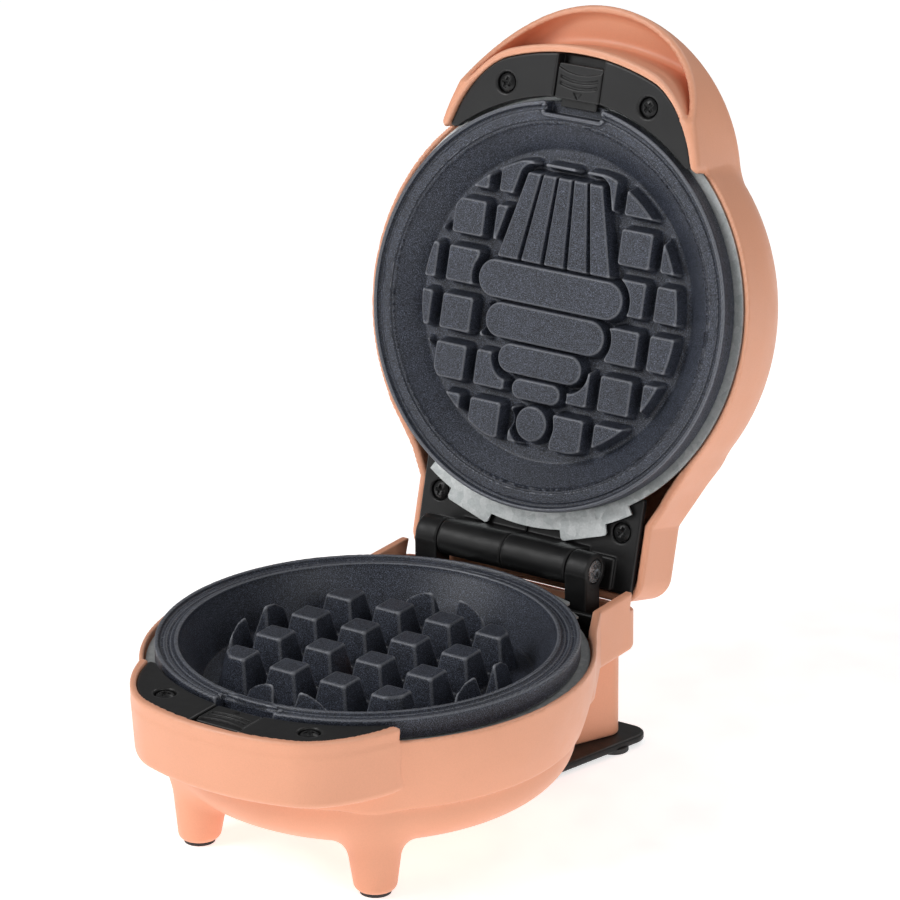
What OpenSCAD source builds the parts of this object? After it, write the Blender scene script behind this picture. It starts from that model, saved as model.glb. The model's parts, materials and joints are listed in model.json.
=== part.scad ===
// Compact waffle maker with removable plates: two moulded shells on a rear hinge,
// two front legs, and a rear column on a wide foot that the cord winds round.
// Millimetres, +Z up. The origin lies on the standing plane, under the centre of
// the cooking plates; +X is to the right along the hinge, +Y is to the back.
// The model rests with its lid fully open, against its stop.

/* [Overall] */
// Outer radius of the cooking plates' rims
plate_r = 61; // [55:1:75]
// Distance from the plates' rims back to the hinge axis
hinge_gap = 12.9; // [12.2:0.1:15]
// How far the lid opens
open_angle = 105; // [90:1:108]
// Gap between the two plates' rims when closed
mate_gap = 0.9; // [0.6:0.1:2]

/* [Shells] */
// Wall of both shells
wall = 2.4; // [1.8:0.1:3]
// Space from the plate's rim out to the shell's outer face
rim_margin = 4.6; // [4.2:0.1:6]
// Depth of the shell's edge below the plate's rim
rim_drop = 4.9; // [4:0.1:5.4]
// Depth of the lower shell below the plate's rim
base_depth = 48.2; // [40:0.2:58]
// Space between the lower shell's belly and the standing plane
belly_clear = 8.2; // [6:0.1:14]
// Depth of the lid below its plate's rim
lid_depth = 39; // [32:0.5:47]
// Depth of the straight band round the lower shell
band_h = 27.5; // [26.5:0.1:30]
// Thickness of the raised lip round each front trim
lip_w = 2.5; // [2:0.1:3]

/* [Front trims] */
// Space from the plate's rim to the trim's front edge
front_margin = 14.4; // [13.5:0.1:17]
// Thickness of each trim
trim_t = 2.6; // [2.4:0.1:3]
// Depth of the trim's face below the plate's rim
trim_drop = 0.9; // [0.7:0.1:1.2]
// Half the distance between a trim's two screws
trim_screw_x = 24.7; // [20:0.1:28]
// Clearance between a trim and its lip
trim_gap = 0.25; // [0.2:0.05:0.5]

/* [Plates] */
// Depth of the lower plate's floor
base_floor = 13.5; // [10:0.1:14.5]
// Depth of the upper plate's floor
lid_floor = 6.6; // [5:0.1:9]
// Metal thickness of the plates
plate_t = 2; // [1.6:0.1:2.4]
// Pitch of the lower plate's mounds
mound_pitch = 17.5; // [16:0.1:18.5]
// Pitch of the upper plate's square blocks
block_pitch = 14.6; // [13:0.1:16]

/* [Handle] */
// Radius of the nose, from above
handle_r = 43.6; // [40:0.1:47]
// How far the nose reaches in front of the lip
handle_reach = 12.1; // [9:0.1:15]
// Height of the nose's lower edge above the lip, at its front
handle_drop = 13.5; // [11:0.1:15]
// Thickness of the nose at its front edge
handle_t = 4.1; // [3.4:0.1:6]
// Wall of the nose
handle_wall = 2.2; // [1.8:0.1:2.8]

/* [Catches] */
// Width of each plate catch
catch_w = 15.4; // [13:0.1:18]
// Travel of each plate catch
catch_travel = 2.2; // [1.8:0.1:2.6]
// Running clearance at each side of a catch
catch_gap = 0.35; // [0.3:0.05:0.6]

/* [Hinge] */
// Radius of the hinge barrel
barrel_r = 5.5; // [4.8:0.1:6]
// Half the length of the hinge barrel
barrel_half = 30.5; // [28:0.1:33]
// Length of each outer knuckle
ear_w = 7.6; // [6.5:0.1:9]
// Radius of the pivot screws' shoulders
pin_r = 2; // [1.6:0.1:2.4]
// Radial clearance of the pivot screws in the lid's knuckle
pin_gap = 0.05; // [0.02:0.01:0.09]

/* [Feet] */
// Distance of each front leg from the middle
leg_x = 30.7; // [26:0.1:34]
// Distance of the front legs in front of the plates' centre
leg_y = 41.6; // [38:0.1:44]
// Radius of a front leg at the floor
leg_r = 6; // [5:0.1:8]
// Thickness of the rear foot plate
foot_t = 2.4; // [2:0.1:3.5]
// Thickness of the rubber pads
pad_t = 1; // [0.8:0.1:1.6]

/* [Heating] */
// Radius of the heating rings
heater_r = 40; // [36:0.5:43]
// Radius of the heating tube
tube_r = 3.2; // [2.8:0.1:3.4]
// Sheet thickness of the reflectors
sheet_t = 0.6; // [0.5:0.1:0.8]

/* [Hidden] */
$fn = 96;
eps = 0.01;

shell_col = [0.93, 0.66, 0.54];
black_col = [0.13, 0.13, 0.14];
coat_col = [0.22, 0.23, 0.26];
sheet_col = [0.78, 0.80, 0.80];
steel_col = [0.62, 0.63, 0.65];

rim_h = base_depth + belly_clear;   // the lower plate's rim above the floor
hinge_y = plate_r + hinge_gap;

// Main radii and places, in the frame of one half: z = 0 at its plate's rim
shell_r = plate_r + rim_margin;
rim_lip = 1.4;                      // thickness of the shell's bare edge
seat_z = -rim_drop - 2.3;           // ledge that a reflector's flange lies above
front_r = plate_r + front_margin;
lip_top = trim_drop - 0.6;          // the lip stands proud of the trim
band_bulge = 6.1;                   // how much narrower the band is at its foot
belly_step = 1.2;                   // step between the band and the belly
belly_n = 2.6;                      // squareness of the belly's curve
crown_n = 5;                        // squareness of the lid's curve
crown_z = 11;                       // depth at which the lid starts to curve in

// Front outline
tip_y = -(plate_r - 13.2);          // where the lips end
tip_x = sqrt(pow(shell_r - 0.3, 2) - tip_y * tip_y) - lip_w;
side_lean = 0.336;                  // the lips' sides run out towards the back
corner_r = 9;

// Hinge
axis_z = mate_gap / 2;
knuckle_gap = 0.3;
back_y = hinge_y + 9.4;             // rear face of the base
lid_back_y = hinge_y + 9.2;         // rear face of the closed lid
stop_gap = 0.4;                     // left between the open lid and the base
box_w = plate_r * 0.713;            // half width of the rear boxes
box_low = -23.5;                    // underside of the base's rear box
neck_y = plate_r * 0.6;
neck_x = plate_r * 0.86;
bracket_z = -8;                     // face of the lid's hinge bracket
bracket_t = 2.2;
bracket_half = 38.4;
lid_boss = [32.3, plate_r + 1.2];
base_floor_z = axis_z - 13;         // top of the base bracket's floor
base_boss = [35.6, hinge_y - 7.9];

// Column and foot
column_back = 34.5;                 // half width at the back
column_front = 21;                  // half width at the front
column_y = plate_r - 15;            // front face
foot_z = pad_t;
foot_top = foot_z + foot_t;

// Plates
bead_w = 0.9;
ring_drop = 0.8;
bowl_r = plate_r * 0.89;
skirt = 6;                          // height of the plates' outer walls
mound_top = 2.2;
block_top = 1.2;
notch_half = catch_w / 2 + 2.1;
notch_y = -(plate_r - 4.2);         // face of the notch
ledge_z = -4.6;                     // shelf that the catch's tongue holds

// Reflectors
flange_z = -skirt - 0.3;
flange_r = shell_r - rim_lip - 0.5;
dish_r = plate_r - 4.6;
lug_angle = 17.5;                   // the two lugs sit either side of the middle
lug_half = 8;
lug_round = 1.2;
lug_gap = 0.15;                     // left between a lug and the hinge's web
lug_tip = (hinge_y - barrel_r - lug_gap - lug_round - (lug_half - lug_round) * sin(lug_angle))
    / cos(lug_angle) + lug_round;   // how far a lug reaches out

// Catches
catch_front = -(front_r - 3.4);     // front face of the button
catch_back = -(plate_r + 0.5);
catch_top = -1.3;
tongue_t = 1.2;
tongue_tip = -(plate_r - catch_travel + 0.3);
spring_z = -11;
spring_r = 2.1;
spring_wire = 0.45;
spring_turns = 4;
leg_in = -(plate_r + 3.4);          // inner face of the leg that the spring pushes
leg_t = 2.4;

screw_r = 1.3;
hole_gap = 0.05;
boss_r = 3.4;

// ---------- frames ----------
module base_half() { translate([0, 0, rim_h]) children(); }
module lid_half() {
    translate([0, hinge_y, rim_h + axis_z]) rotate([-open_angle, 0, 0])
        translate([0, -hinge_y, axis_z]) mirror([0, 0, 1]) children();
}
module both_sides() { children(); mirror([1, 0, 0]) children(); }

// ---------- shared outlines ----------
// Front outline of a trim, grown or shrunk by d
module front_2d(d = 0, back = tip_y) {
    wide = tip_x + (back - tip_y) * side_lean;
    narrow = tip_x + (-front_r - 5 - tip_y) * side_lean;
    offset(r = corner_r + d, $fn = 64) offset(delta = -corner_r) intersection() {
        circle(r = front_r, $fn = 180);
        polygon([[-wide, back + corner_r], [-narrow, -front_r - 5],
                 [narrow, -front_r - 5], [wide, back + corner_r]]);
    }
}
// One half of a revolved solid's outline between two radii functions
function super_r(r, z, z0, c, n) = r * pow(max(0, 1 - pow((z0 - z) / c, n)), 1 / n);
function band_r(z) = shell_r - band_bulge * pow((-z - rim_drop) / band_h, 2);
function steps(a, b, n) = [for (i = [0:n]) a + (b - a) * i / n];
// Quarter-cosine spacing puts more points where a curve turns in
function ease(a, b, n) = [for (i = [0:n]) a + (b - a) * sin(90 * i / n)];

module base_profile(d = 0) {
    belly_r = band_r(-band_h) - belly_step;
    c = base_depth - band_h;
    polygon(concat(
        [[0, -rim_drop], [band_r(-rim_drop) - d, -rim_drop]],
        [for (z = steps(-rim_drop, -band_h, 8)) [band_r(z) - d, z]],
        [for (z = ease(-band_h - 1, -base_depth + d, 14))
            [max(0, super_r(belly_r - d, z, -band_h - 0.9, c - 0.9 - d + 0.02, belly_n)), z]],
        [[0, -base_depth + d]]));
}
module lid_profile(d = 0) {
    polygon(concat(
        [[0, -rim_drop]], [[shell_r - d, -rim_drop], [shell_r - d, -crown_z]],
        [for (z = ease(-crown_z - 1, -lid_depth + d, 16))
            [super_r(shell_r - d, z, -crown_z, lid_depth - crown_z - d + 0.02, crown_n), z]],
        [[0, -lid_depth + d]]));
}
// Plan of the rear box with its neck, grown by d
module box_2d(d, back) {
    offset(r = 7 + d, $fn = 64) offset(delta = -7)
        polygon([[-neck_x, neck_y - 20], [neck_x, neck_y - 20], [neck_x, neck_y],
                 [box_w, plate_r * 0.95], [box_w, back], [-box_w, back],
                 [-box_w, plate_r * 0.95], [-neck_x, neck_y]]);
}
module column_2d(d) {
    offset(r = 4 + d, $fn = 48) offset(delta = -4)
        polygon([[-column_front, column_y], [column_front, column_y],
                 [column_back, back_y], [-column_back, back_y]]);
}
module bumper(d, low, high) {
    taper = 2;
    hull() {
        translate([0, 0, high - 0.2]) linear_extrude(0.2) front_2d(lip_w - d, -20);
        translate([0, 0, low]) linear_extrude(0.2) front_2d(lip_w - d - taper, -20);
    }
}
module behind(y, z0, z1) { translate([-150, y, z0]) cube([300, 300, z1 - z0]); }

// ---------- screws ----------
// Pan-head Phillips screw, head down to z = 0, shank below
module screw(len, head_r = 2.7, head_h = 1.3, r = screw_r) {
    difference() {
        union() {
            cylinder(r = head_r, h = head_h);
            translate([0, 0, -len]) cylinder(r = r, h = len + eps);
        }
        for (a = [0, 90]) rotate(a) translate([-1.6, -0.35, head_h - 0.8]) cube([3.2, 0.7, 2]);
    }
}
module boss(x, y, z0, z1, r = boss_r) { translate([x, y, z0]) cylinder(r = r, h = z1 - z0); }
module pilot(x, y, z1, depth) {
    translate([x, y, z1 - depth]) cylinder(r = screw_r + hole_gap, h = depth + eps);
}
// Places of the three screws that hold a reflector
module reflector_spots() { for (a = [50, 130, 270]) rotate(a) translate([49, 0, 0]) children(); }
module trim_spots() { both_sides() translate([trim_screw_x, -(plate_r + 2.4), 0]) children(); }

// ---------- shells ----------
dish_depth_base = base_floor + plate_t + 2 * tube_r + 2.2;
dish_depth_lid = lid_floor + plate_t + 2 * tube_r + 2.2;

module shell_cavity(low, dish_z) {
    // seat for the reflector's flange and the bare edge above it
    translate([0, 0, seat_z]) cylinder(r = shell_r - rim_lip, h = 20);
    // room inside the front lip
    translate([0, 0, low]) linear_extrude(-low + 5) front_2d(0, tip_y);
}
module shell_front(low) {
    // raised lip, only in front of the tips
    intersection() {
        bumper(0, low, -lip_top);
        translate([-100, -200, low]) cube([200, 200 + tip_y, -low + 5]);
    }
    intersection() {
        bumper(0, low, -lip_top);
        translate([-100, -200, low]) cube([200, 200, -low - rim_drop]);
    }
}
module trim_bosses(low) {
    trim_spots() translate([0, 0, low]) cylinder(r = boss_r, h = -low - trim_drop - trim_t - 0.6);
}
module leg() {
    hull() {
        translate([leg_x, -leg_y, pad_t]) cylinder(r = leg_r, h = 1, $fn = 48);
        translate([leg_x, -leg_y, pad_t + 1]) cylinder(r = leg_r + 0.3, h = 1, $fn = 48);
        translate([leg_x - 1, -leg_y + 1, rim_h - band_h - 4]) cylinder(r = leg_r + 3.4, h = 1, $fn = 48);
    }
}

module base_shell() color(shell_col) difference() {
    union() {
        base_half() {
            rotate_extrude() base_profile();
            shell_front(-band_h);
            // rear box, from its underside to the side edges
            intersection() {
                translate([0, 0, box_low]) linear_extrude(-box_low - rim_drop) box_2d(0, back_y);
                behind(0, -60, 0);
            }
        }
        translate([0, 0, foot_top]) linear_extrude(rim_h + box_low - foot_top + 2) column_2d(0);
        both_sides() leg();
    }
    base_half() {
        difference() {
            union() {
                rotate_extrude() base_profile(wall);
                intersection() {
                    translate([0, 0, box_low + wall]) linear_extrude(60) box_2d(-wall, back_y);
                    behind(neck_y - 8, -60, 30);
                }
                difference() {
                    bumper(lip_w, -band_h + wall, -lip_top + 2);
                    behind(tip_y, -rim_drop, 10);
                }
            }
            // bosses stand up from the floor
            trim_bosses(-band_h - 6);
            reflector_spots() translate([0, 0, -base_depth])
                cylinder(r = boss_r, h = base_depth - dish_depth_base - sheet_t - 0.3);
            both_sides() translate([base_boss[0], base_boss[1], box_low])
                cylinder(r = boss_r, h = base_floor_z - bracket_t - 0.1 - box_low);
            translate([14, -10, -base_depth]) cylinder(r = boss_r, h = 10);
            translate([14, 12, -base_depth]) cylinder(r = boss_r, h = 10);
        }
        shell_cavity(-trim_drop - trim_t - 6, 0);
        trim_spots() pilot(0, 0, -trim_drop - trim_t - 0.6, 12);
        reflector_spots() pilot(0, 0, -dish_depth_base - sheet_t - 0.3, 8);
        both_sides() pilot(base_boss[0], base_boss[1], base_floor_z - bracket_t - 0.1, 7);
        translate([14, -10, 0]) pilot(0, 0, -base_depth + 10, 7);
        translate([14, 12, 0]) pilot(0, 0, -base_depth + 10, 7);
    }
    // hollow column, open below
    difference() {
        translate([0, 0, -1]) linear_extrude(rim_h + box_low + wall + 2) column_2d(-wall);
        for (s = foot_spots) {
            translate([s[0], s[1], foot_post_z]) cylinder(r = boss_r, h = foot_post_h);
            translate([s[0] + (s[0] > 0 ? 0 : -12), s[1] - 0.9, foot_post_z + 1]) cube([12, 1.8, foot_post_h - 1]);
        }
    }
    for (s = foot_spots) translate([s[0], s[1], foot_post_z - 1]) cylinder(r = screw_r + hole_gap, h = 9);
    // space that the open lid takes, with its stop clearance
    lid_half() translate([-80, hinge_y - 40, -80])
        cube([160, 40 + lid_back_y - hinge_y + stop_gap, 80 - rim_drop + stop_gap]);
    // cord gland through the rear face
    translate([0, back_y - 10, gland_z]) rotate([-90, 0, 0]) cylinder(r = gland_r + 0.15, h = 30);
    // pads are let into the legs
    both_sides() translate([leg_x, -leg_y, -eps]) cylinder(r = leg_r - 1.4, h = pad_t + 0.9);
}
gland_z = 19;
gland_r = 4.6;

module lid_shell() color(shell_col) lid_half() difference() {
    union() {
        rotate_extrude() lid_profile();
        shell_front(-lid_depth + 14);
        handle_outer();
        intersection() {
            translate([0, 0, -lid_depth + 9]) linear_extrude(lid_depth - 9 - rim_drop) box_2d(0, lid_back_y);
            behind(0, -60, 0);
        }
    }
    difference() {
        union() {
            rotate_extrude() lid_profile(wall);
            intersection() {
                translate([0, 0, -lid_depth + 9 + wall]) linear_extrude(60) box_2d(-wall, lid_back_y);
                behind(neck_y - 8, -60, 30);
            }
            difference() {
                bumper(lip_w, -lid_depth + 14 + wall, -lip_top + 2);
                behind(tip_y, -rim_drop, 10);
            }
        }
        trim_bosses(-lid_depth);
        reflector_spots() translate([0, 0, -lid_depth])
            cylinder(r = boss_r, h = lid_depth - dish_depth_lid - sheet_t - 0.3);
        both_sides() translate([lid_boss[0], lid_boss[1], -lid_depth])
            cylinder(r = boss_r, h = lid_depth + bracket_z - bracket_t - 0.1);
    }
    shell_cavity(-trim_drop - trim_t - 6, 0);
    handle_pocket();
    trim_spots() pilot(0, 0, -trim_drop - trim_t - 0.6, 12);
    reflector_spots() pilot(0, 0, -dish_depth_lid - sheet_t - 0.3, 7);
    both_sides() pilot(lid_boss[0], lid_boss[1], bracket_z - bracket_t - 0.1, 8);
    // window for the lamp
    translate([0, lamp_y, -lid_depth - 1]) cylinder(r = lamp_r + 0.15, h = 10);
}
lamp_y = 8;
lamp_r = 3;

// Scoop handle: a round nose in front of the lip, hollow from below
handle_y = -(front_r + lip_w + handle_reach - handle_r);
handle_front = handle_y - handle_r;
handle_start = tip_y - 13.7;        // where its lower edge leaves the lip
handle_slope = 16.7;                // slope of its outer face, in degrees
module handle_plan(d) { translate([0, handle_y]) circle(r = handle_r - d, $fn = 180); }
// Height of the outer face over the nose, moved in by d
function handle_face(y, d = 0) = -handle_drop - handle_t - (y - handle_front) * tan(handle_slope) + d;
// The lower edge leaves the lip steeply and flattens out towards the front
function handle_edge(s) = lip_level + (-handle_drop - lip_level) * (1 - pow(1 - s, 1.6));
lip_level = -lip_top;
module handle_slab(y0, y1, d, top) {
    rotate([90, 0, 90]) translate([0, 0, -60]) linear_extrude(120)
        polygon([[y0, handle_face(y0, d)], [y1, handle_face(y1, d)], [y1, top], [y0, top]]);
}
module handle_outer() {
    reach = handle_front - handle_start;
    difference() {
        intersection() {
            translate([0, 0, -lid_depth]) linear_extrude(lid_depth + lip_level) handle_plan(0);
            handle_slab(handle_front - 1, tip_y + 20, 0, 20);
        }
        rotate([90, 0, 90]) translate([0, 0, -60]) linear_extrude(120)
            polygon(concat([[handle_start, 30]],
                [for (s = steps(0, 1, 10)) [handle_start + s * reach, handle_edge(s)]],
                [[handle_front - 5, -handle_drop], [handle_front - 5, 30]]));
        behind(tip_y, -rim_drop - 1, 10);
    }
}
module handle_pocket() {
    difference() {
        intersection() {
            translate([0, 0, -lid_depth]) linear_extrude(lid_depth + 40) handle_plan(handle_wall);
            handle_slab(handle_front - 1, tip_y - 2, wall, 40);
        }
        translate([0, 0, -80]) linear_extrude(160) front_2d(lip_w + 0.6, -20);
    }
}

// ---------- trims ----------
module trim() {
    face = -trim_drop;
    color(black_col) difference() {
        union() {
            translate([0, 0, face - trim_t]) linear_extrude(trim_t) difference() {
                intersection() {
                    front_2d(-trim_gap, tip_y);
                    translate([-100, -200]) square([200, 200 + tip_y]);
                }
                circle(r = plate_r + 1.2, $fn = 180);
                translate([-slot_half, -front_r + 0.9]) square([2 * slot_half, 60]);
            }
            // skirt beside the plate
            translate([0, 0, flange_z + 0.4]) linear_extrude(face - trim_t - flange_z - 0.4 + eps) difference() {
                intersection() {
                    circle(r = plate_r + 2.6, $fn = 180);
                    front_2d(-trim_gap - 0.4, tip_y);
                    translate([-100, -200]) square([200, 200 + tip_y - 2]);
                }
                circle(r = plate_r + 1.2, $fn = 180);
                translate([-slot_half - 1, -front_r]) square([2 * slot_half + 2, 60]);
            }
            trim_spots() translate([0, 0, face - trim_t - 0.5]) cylinder(r = 4.4, h = 1);
        }
        trim_spots() {
            translate([0, 0, face - 1.7]) cylinder(r = 3.2, h = 5);
            translate([0, 0, face - 6]) cylinder(r = screw_r + 0.2, h = 10);
        }
    }
}
slot_half = catch_w / 2 + catch_gap;
module trim_screws() color(steel_col * 0.35)
    trim_spots() translate([0, 0, -trim_drop - 1.65]) screw(9);

// ---------- plates ----------
module plate_body(floor_d, floor_r) {
    t = plate_t;
    difference() {
        rotate_extrude() polygon([
            [0, -floor_d], [floor_r, -floor_d], [bowl_r, -ring_drop], [bowl_r + 0.3, -0.1],
            [bowl_r + 1.1, -0.1], [bowl_r + 1.4, -ring_drop],
            [plate_r - bead_w - 0.6, -ring_drop], [plate_r - bead_w, 0], [plate_r - 0.2, 0],
            [plate_r, -0.3], [plate_r, -skirt], [plate_r - 1.6, -skirt],
            [plate_r - 1.9, -ring_drop - t], [bowl_r + 1.2, -ring_drop - t],
            [floor_r + 1.4, -floor_d - t], [0, -floor_d - t]]);
        // notch for the catch, down to its shelf
        translate([-notch_half, -plate_r - 1, ledge_z]) cube([2 * notch_half, notch_y + plate_r + 1, 20]);
    }
    // shelf under the catch's tongue
    intersection() {
        translate([-notch_half, -plate_r, ledge_z - 1.2]) cube([2 * notch_half, plate_r + notch_y + 1.2, 1.2]);
        translate([0, 0, -20]) cylinder(r = plate_r, h = 30);
    }
    // face of the notch
    translate([-notch_half, notch_y, ledge_z - 1.2]) cube([2 * notch_half, 1.3, -ledge_z + 1.2 - ring_drop]);
}
// Square mounds, whose outer ones are cut back to a cone
mound_low = [12.8, 12];
mound_taper = 0.68;
clip_top = plate_r * 0.665;
clip_low = plate_r * 0.715;
module base_plate() color(coat_col) base_half() {
    plate_body(base_floor, plate_r * 0.79);
    intersection() {
        translate([0, 0, -base_floor - eps])
            cylinder(r1 = clip_low, r2 = clip_top, h = base_floor - mound_top + 2 * eps);
        for (i = [-3:2], j = [-3:2]) if (abs(i + 0.5) + abs(j + 0.5) < 3.5)
            translate([(i + 0.5) * mound_pitch, (j + 0.5) * mound_pitch, -base_floor - eps])
                linear_extrude(base_floor - mound_top, scale = mound_taper) square(mound_low, center = true);
    }
}
module lid_plate() color(coat_col) lid_half() {
    floor_r = plate_r * 0.78;
    plate_body(lid_floor, floor_r);
    relief();
}
// Square blocks round a plain motif of a cupcake with a cherry
field_r = plate_r * 0.725;          // radius of the relief
groove = 1.1;                       // width of the motif's inner grooves
halo = 1.8;                         // clear width round the motif
block_gap = 3.4;
block_shift = 0.85;                 // how far the grid sits to one side, in blocks
relief_low = -lid_floor - 0.3;
relief_tall = lid_floor + 0.3 - block_top;
// Each layer of icing is [half width, lower edge, upper edge]
icing = [for (q = [[0.58, -0.26, 0.02], [0.48, 0.02, 0.28], [0.34, 0.28, 0.5], [0.2, 0.5, 0.66]])
    q * field_r];
cherry_y = field_r * 0.8;
cherry_r = field_r * 0.13;
cup_top = icing[0][1];
cup_low = -field_r * 0.88;
cup_wide = field_r * 0.46;
cup_narrow = field_r * 0.3;
pleats = 5;
side = block_pitch - block_gap;
module relief() intersection() {
    translate([0, 0, relief_low - 1]) cylinder(r = field_r, h = relief_tall + 2);
    union() {
        difference() {
            for (i = [-4:3], j = [-4:3])
                translate([(i + block_shift) * block_pitch - side / 2, (j + 0.5) * block_pitch - side / 2,
                           relief_low]) cube([side, side, relief_tall]);
            for (q = icing) layer(q, -halo, 2);
            cup(-halo, 2);
            cherry(-halo, 2);
        }
        for (q = icing) layer(q, groove / 2, 0);
        difference() {
            cup(groove / 2, 0);
            for (i = [1:pleats - 1]) pleat(-1 + 2 * i / pleats);
        }
        cherry(groove / 2, 0);
    }
}
// A layer with round ends, shrunk by g and longer up and down by more
module layer(q, g, more) {
    h = q[2] - q[1] - 2 * g;
    x = q[0] - g - h / 2;
    translate([0, (q[1] + q[2]) / 2, relief_low - more]) {
        translate([-x, -h / 2, 0]) cube([2 * x, h, relief_tall + 2 * more]);
        for (s = [-1, 1]) translate([s * x, 0, 0]) cylinder(r = h / 2, h = relief_tall + 2 * more, $fn = 40);
    }
}
module cup(g, more) {
    translate([0, 0, relief_low - more]) linear_extrude(relief_tall + 2 * more)
        polygon([[-cup_wide + g, cup_top - g], [cup_wide - g, cup_top - g],
                 [cup_narrow - g, cup_low + g], [-cup_narrow + g, cup_low + g]]);
}
module pleat(t) {
    translate([0, 0, relief_low - 1]) linear_extrude(relief_tall + 2)
        polygon([[t * cup_wide - groove / 2, cup_top + 1], [t * cup_wide + groove / 2, cup_top + 1],
                 [t * cup_narrow + groove / 2, cup_low - 1], [t * cup_narrow - groove / 2, cup_low - 1]]);
}
module cherry(g, more) {
    translate([0, cherry_y, relief_low - more]) cylinder(r = cherry_r - g, h = relief_tall + 2 * more, $fn = 40);
}

// ---------- reflectors ----------
module reflector(depth) {
    color(sheet_col) difference() {
        union() {
            translate([0, 0, flange_z - sheet_t]) linear_extrude(sheet_t) difference() {
                union() {
                    circle(r = flange_r, $fn = 180);
                    intersection() {
                        circle(r = plate_r * 1.09, $fn = 180);
                        polygon([[0, 0], [-0.64 * 90, 90], [0.64 * 90, 90]]);
                    }
                    for (s = [-1, 1]) rotate(-s * lug_angle)
                        offset(r = lug_round, $fn = 24) offset(delta = -lug_round)
                            translate([-lug_half, lug_tip - 2 * lug_half]) square(2 * lug_half);
                }
                circle(r = dish_r - eps);
            }
            rotate_extrude() polygon([
                [dish_r, flange_z], [dish_r, -depth + 2], [dish_r - 2, -depth], [0, -depth],
                [0, -depth - sheet_t], [dish_r - 1.7, -depth - sheet_t],
                [dish_r + sheet_t, -depth + 1.8], [dish_r + sheet_t, flange_z]]);
        }
        reflector_spots() translate([0, 0, -depth - 5]) cylinder(r = screw_r + 0.2, h = 10);
        heater_ends() translate([0, 0, -depth - 5]) cylinder(r = 3.9, h = 10);
        translate([0, -20, -depth - 5]) cylinder(r = 1.2, h = 10);
    }
}
module reflector_screws(depth) color(steel_col)
    reflector_spots() translate([0, 0, -depth + 0.05]) screw(6);

// ---------- heating rings ----------
end_angle = 25;                     // half the gap between the ring's ends
module heater_ends() { for (s = [-1, 1]) rotate(90 + s * end_angle) translate([heater_r, 0, 0]) children(); }
module heater(floor_d, depth) {
    z = -floor_d - plate_t - 0.4 - tube_r;
    color(steel_col) {
        translate([0, 0, z]) rotate(90 + end_angle)
            rotate_extrude(angle = 360 - 2 * end_angle) translate([heater_r, 0]) circle(r = tube_r);
        // turned-down ends, with their cold pins
        heater_ends() translate([0, 0, z]) {
            translate([0, 0, -tube_r - 1]) cylinder(r = tube_r + 0.3, h = 2 * tube_r + 0.8);
            translate([0, 0, -depth - z - 3.5]) cylinder(r = tube_r - 0.5, h = depth + z + 3.5 - tube_r);
            translate([0, 0, -depth - z - 7]) cylinder(r = 1.1, h = 5);
        }
    }
}
module heater_bushings(depth) color("ivory") heater_ends() difference() {
    union() {
        translate([0, 0, -depth - sheet_t - 2]) cylinder(r = 5, h = 2);
        translate([0, 0, -depth - sheet_t - 0.1]) cylinder(r = 3.8, h = 1.4);
    }
    translate([0, 0, -depth - 10]) cylinder(r = tube_r - 0.45, h = 20);
}
module heater_clips(floor_d, depth) {
    z = -floor_d - plate_t - 0.4 - tube_r;
    color(sheet_col) for (a = [200, 340]) rotate(a) translate([heater_r, 0, 0]) difference() {
        union() {
            translate([-tube_r - 1.2, -3, -depth + 0.05]) cube([2 * tube_r + 2.4, 6, z + depth]);
            translate([-tube_r - 5, -3, -depth + 0.05]) cube([5, 6, 0.8]);
        }
        translate([-tube_r - 0.1, -4, -depth - 1]) cube([2 * tube_r + 0.2, 8, z + depth - tube_r + 1 + 0.9]);
        translate([0, -4, z]) rotate([-90, 0, 0]) cylinder(r = heater_clip_r, h = 8);
        translate([-tube_r - 0.1, -4, z - 0.05]) cube([2 * tube_r + 0.2, 8, 10]);
    }
}
heater_clip_r = tube_r + 0.35;

// ---------- catches ----------
module catch_part() color(black_col) difference() {
    union() {
        translate([-catch_w / 2, catch_front, catch_top - 3.2])
            cube([catch_w, catch_back - catch_front, 3.2]);
        // tongue that reaches over the plate's shelf
        translate([-catch_w / 2 + 1.5, catch_back - 1, ledge_z + 0.35])
            cube([catch_w - 3, tongue_tip - catch_back + 1, tongue_t]);
        // leg with the spring's face
        translate([-3.6, leg_in - leg_t, spring_z - 3.2])
            cube([7.2, leg_t, -spring_z + 3.2 + catch_top - 2.5]);
    }
    // finger grooves
    for (i = [0:2]) translate([0, catch_front - 18 + 5.2 + i * 1.6, 0])
        difference() {
            translate([0, 0, catch_top - 0.5]) cylinder(r = 18 + 0.4, h = 2);
            translate([0, 0, catch_top - 1]) cylinder(r = 18 - 0.4, h = 3);
        }
}
spring_y0 = -(front_r - 1.7);
spring_y1 = leg_in - leg_t - catch_travel - 0.1;     // drawn fully pressed
// Open coil, square to its ends, swept as one tube
module catch_spring() color(steel_col) {
    turns = spring_turns;
    sides = 8;
    per = 12;
    n = turns * per;
    len = spring_y1 - spring_y0 - 2 * spring_wire;
    ring = [for (i = [0:n]) let (a = 360 * i / per, y = spring_y0 + spring_wire + len * i / n)
        [for (k = [0:sides - 1]) let (b = 360 * k / sides, rr = spring_r + spring_wire * cos(b))
            [rr * cos(a), y + spring_wire * sin(b), spring_z + rr * sin(a)]]];
    points = [for (r = ring) for (q = r) q];
    side = [for (i = [0:n - 1], k = [0:sides - 1]) let (a = i * sides + k, b = i * sides + (k + 1) % sides)
        [a, b, b + sides, a + sides]];
    caps = [[for (k = [sides - 1:-1:0]) k], [for (k = [0:sides - 1]) n * sides + k]];
    polyhedron(points, concat(side, caps), convexity = 10);
}

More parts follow.
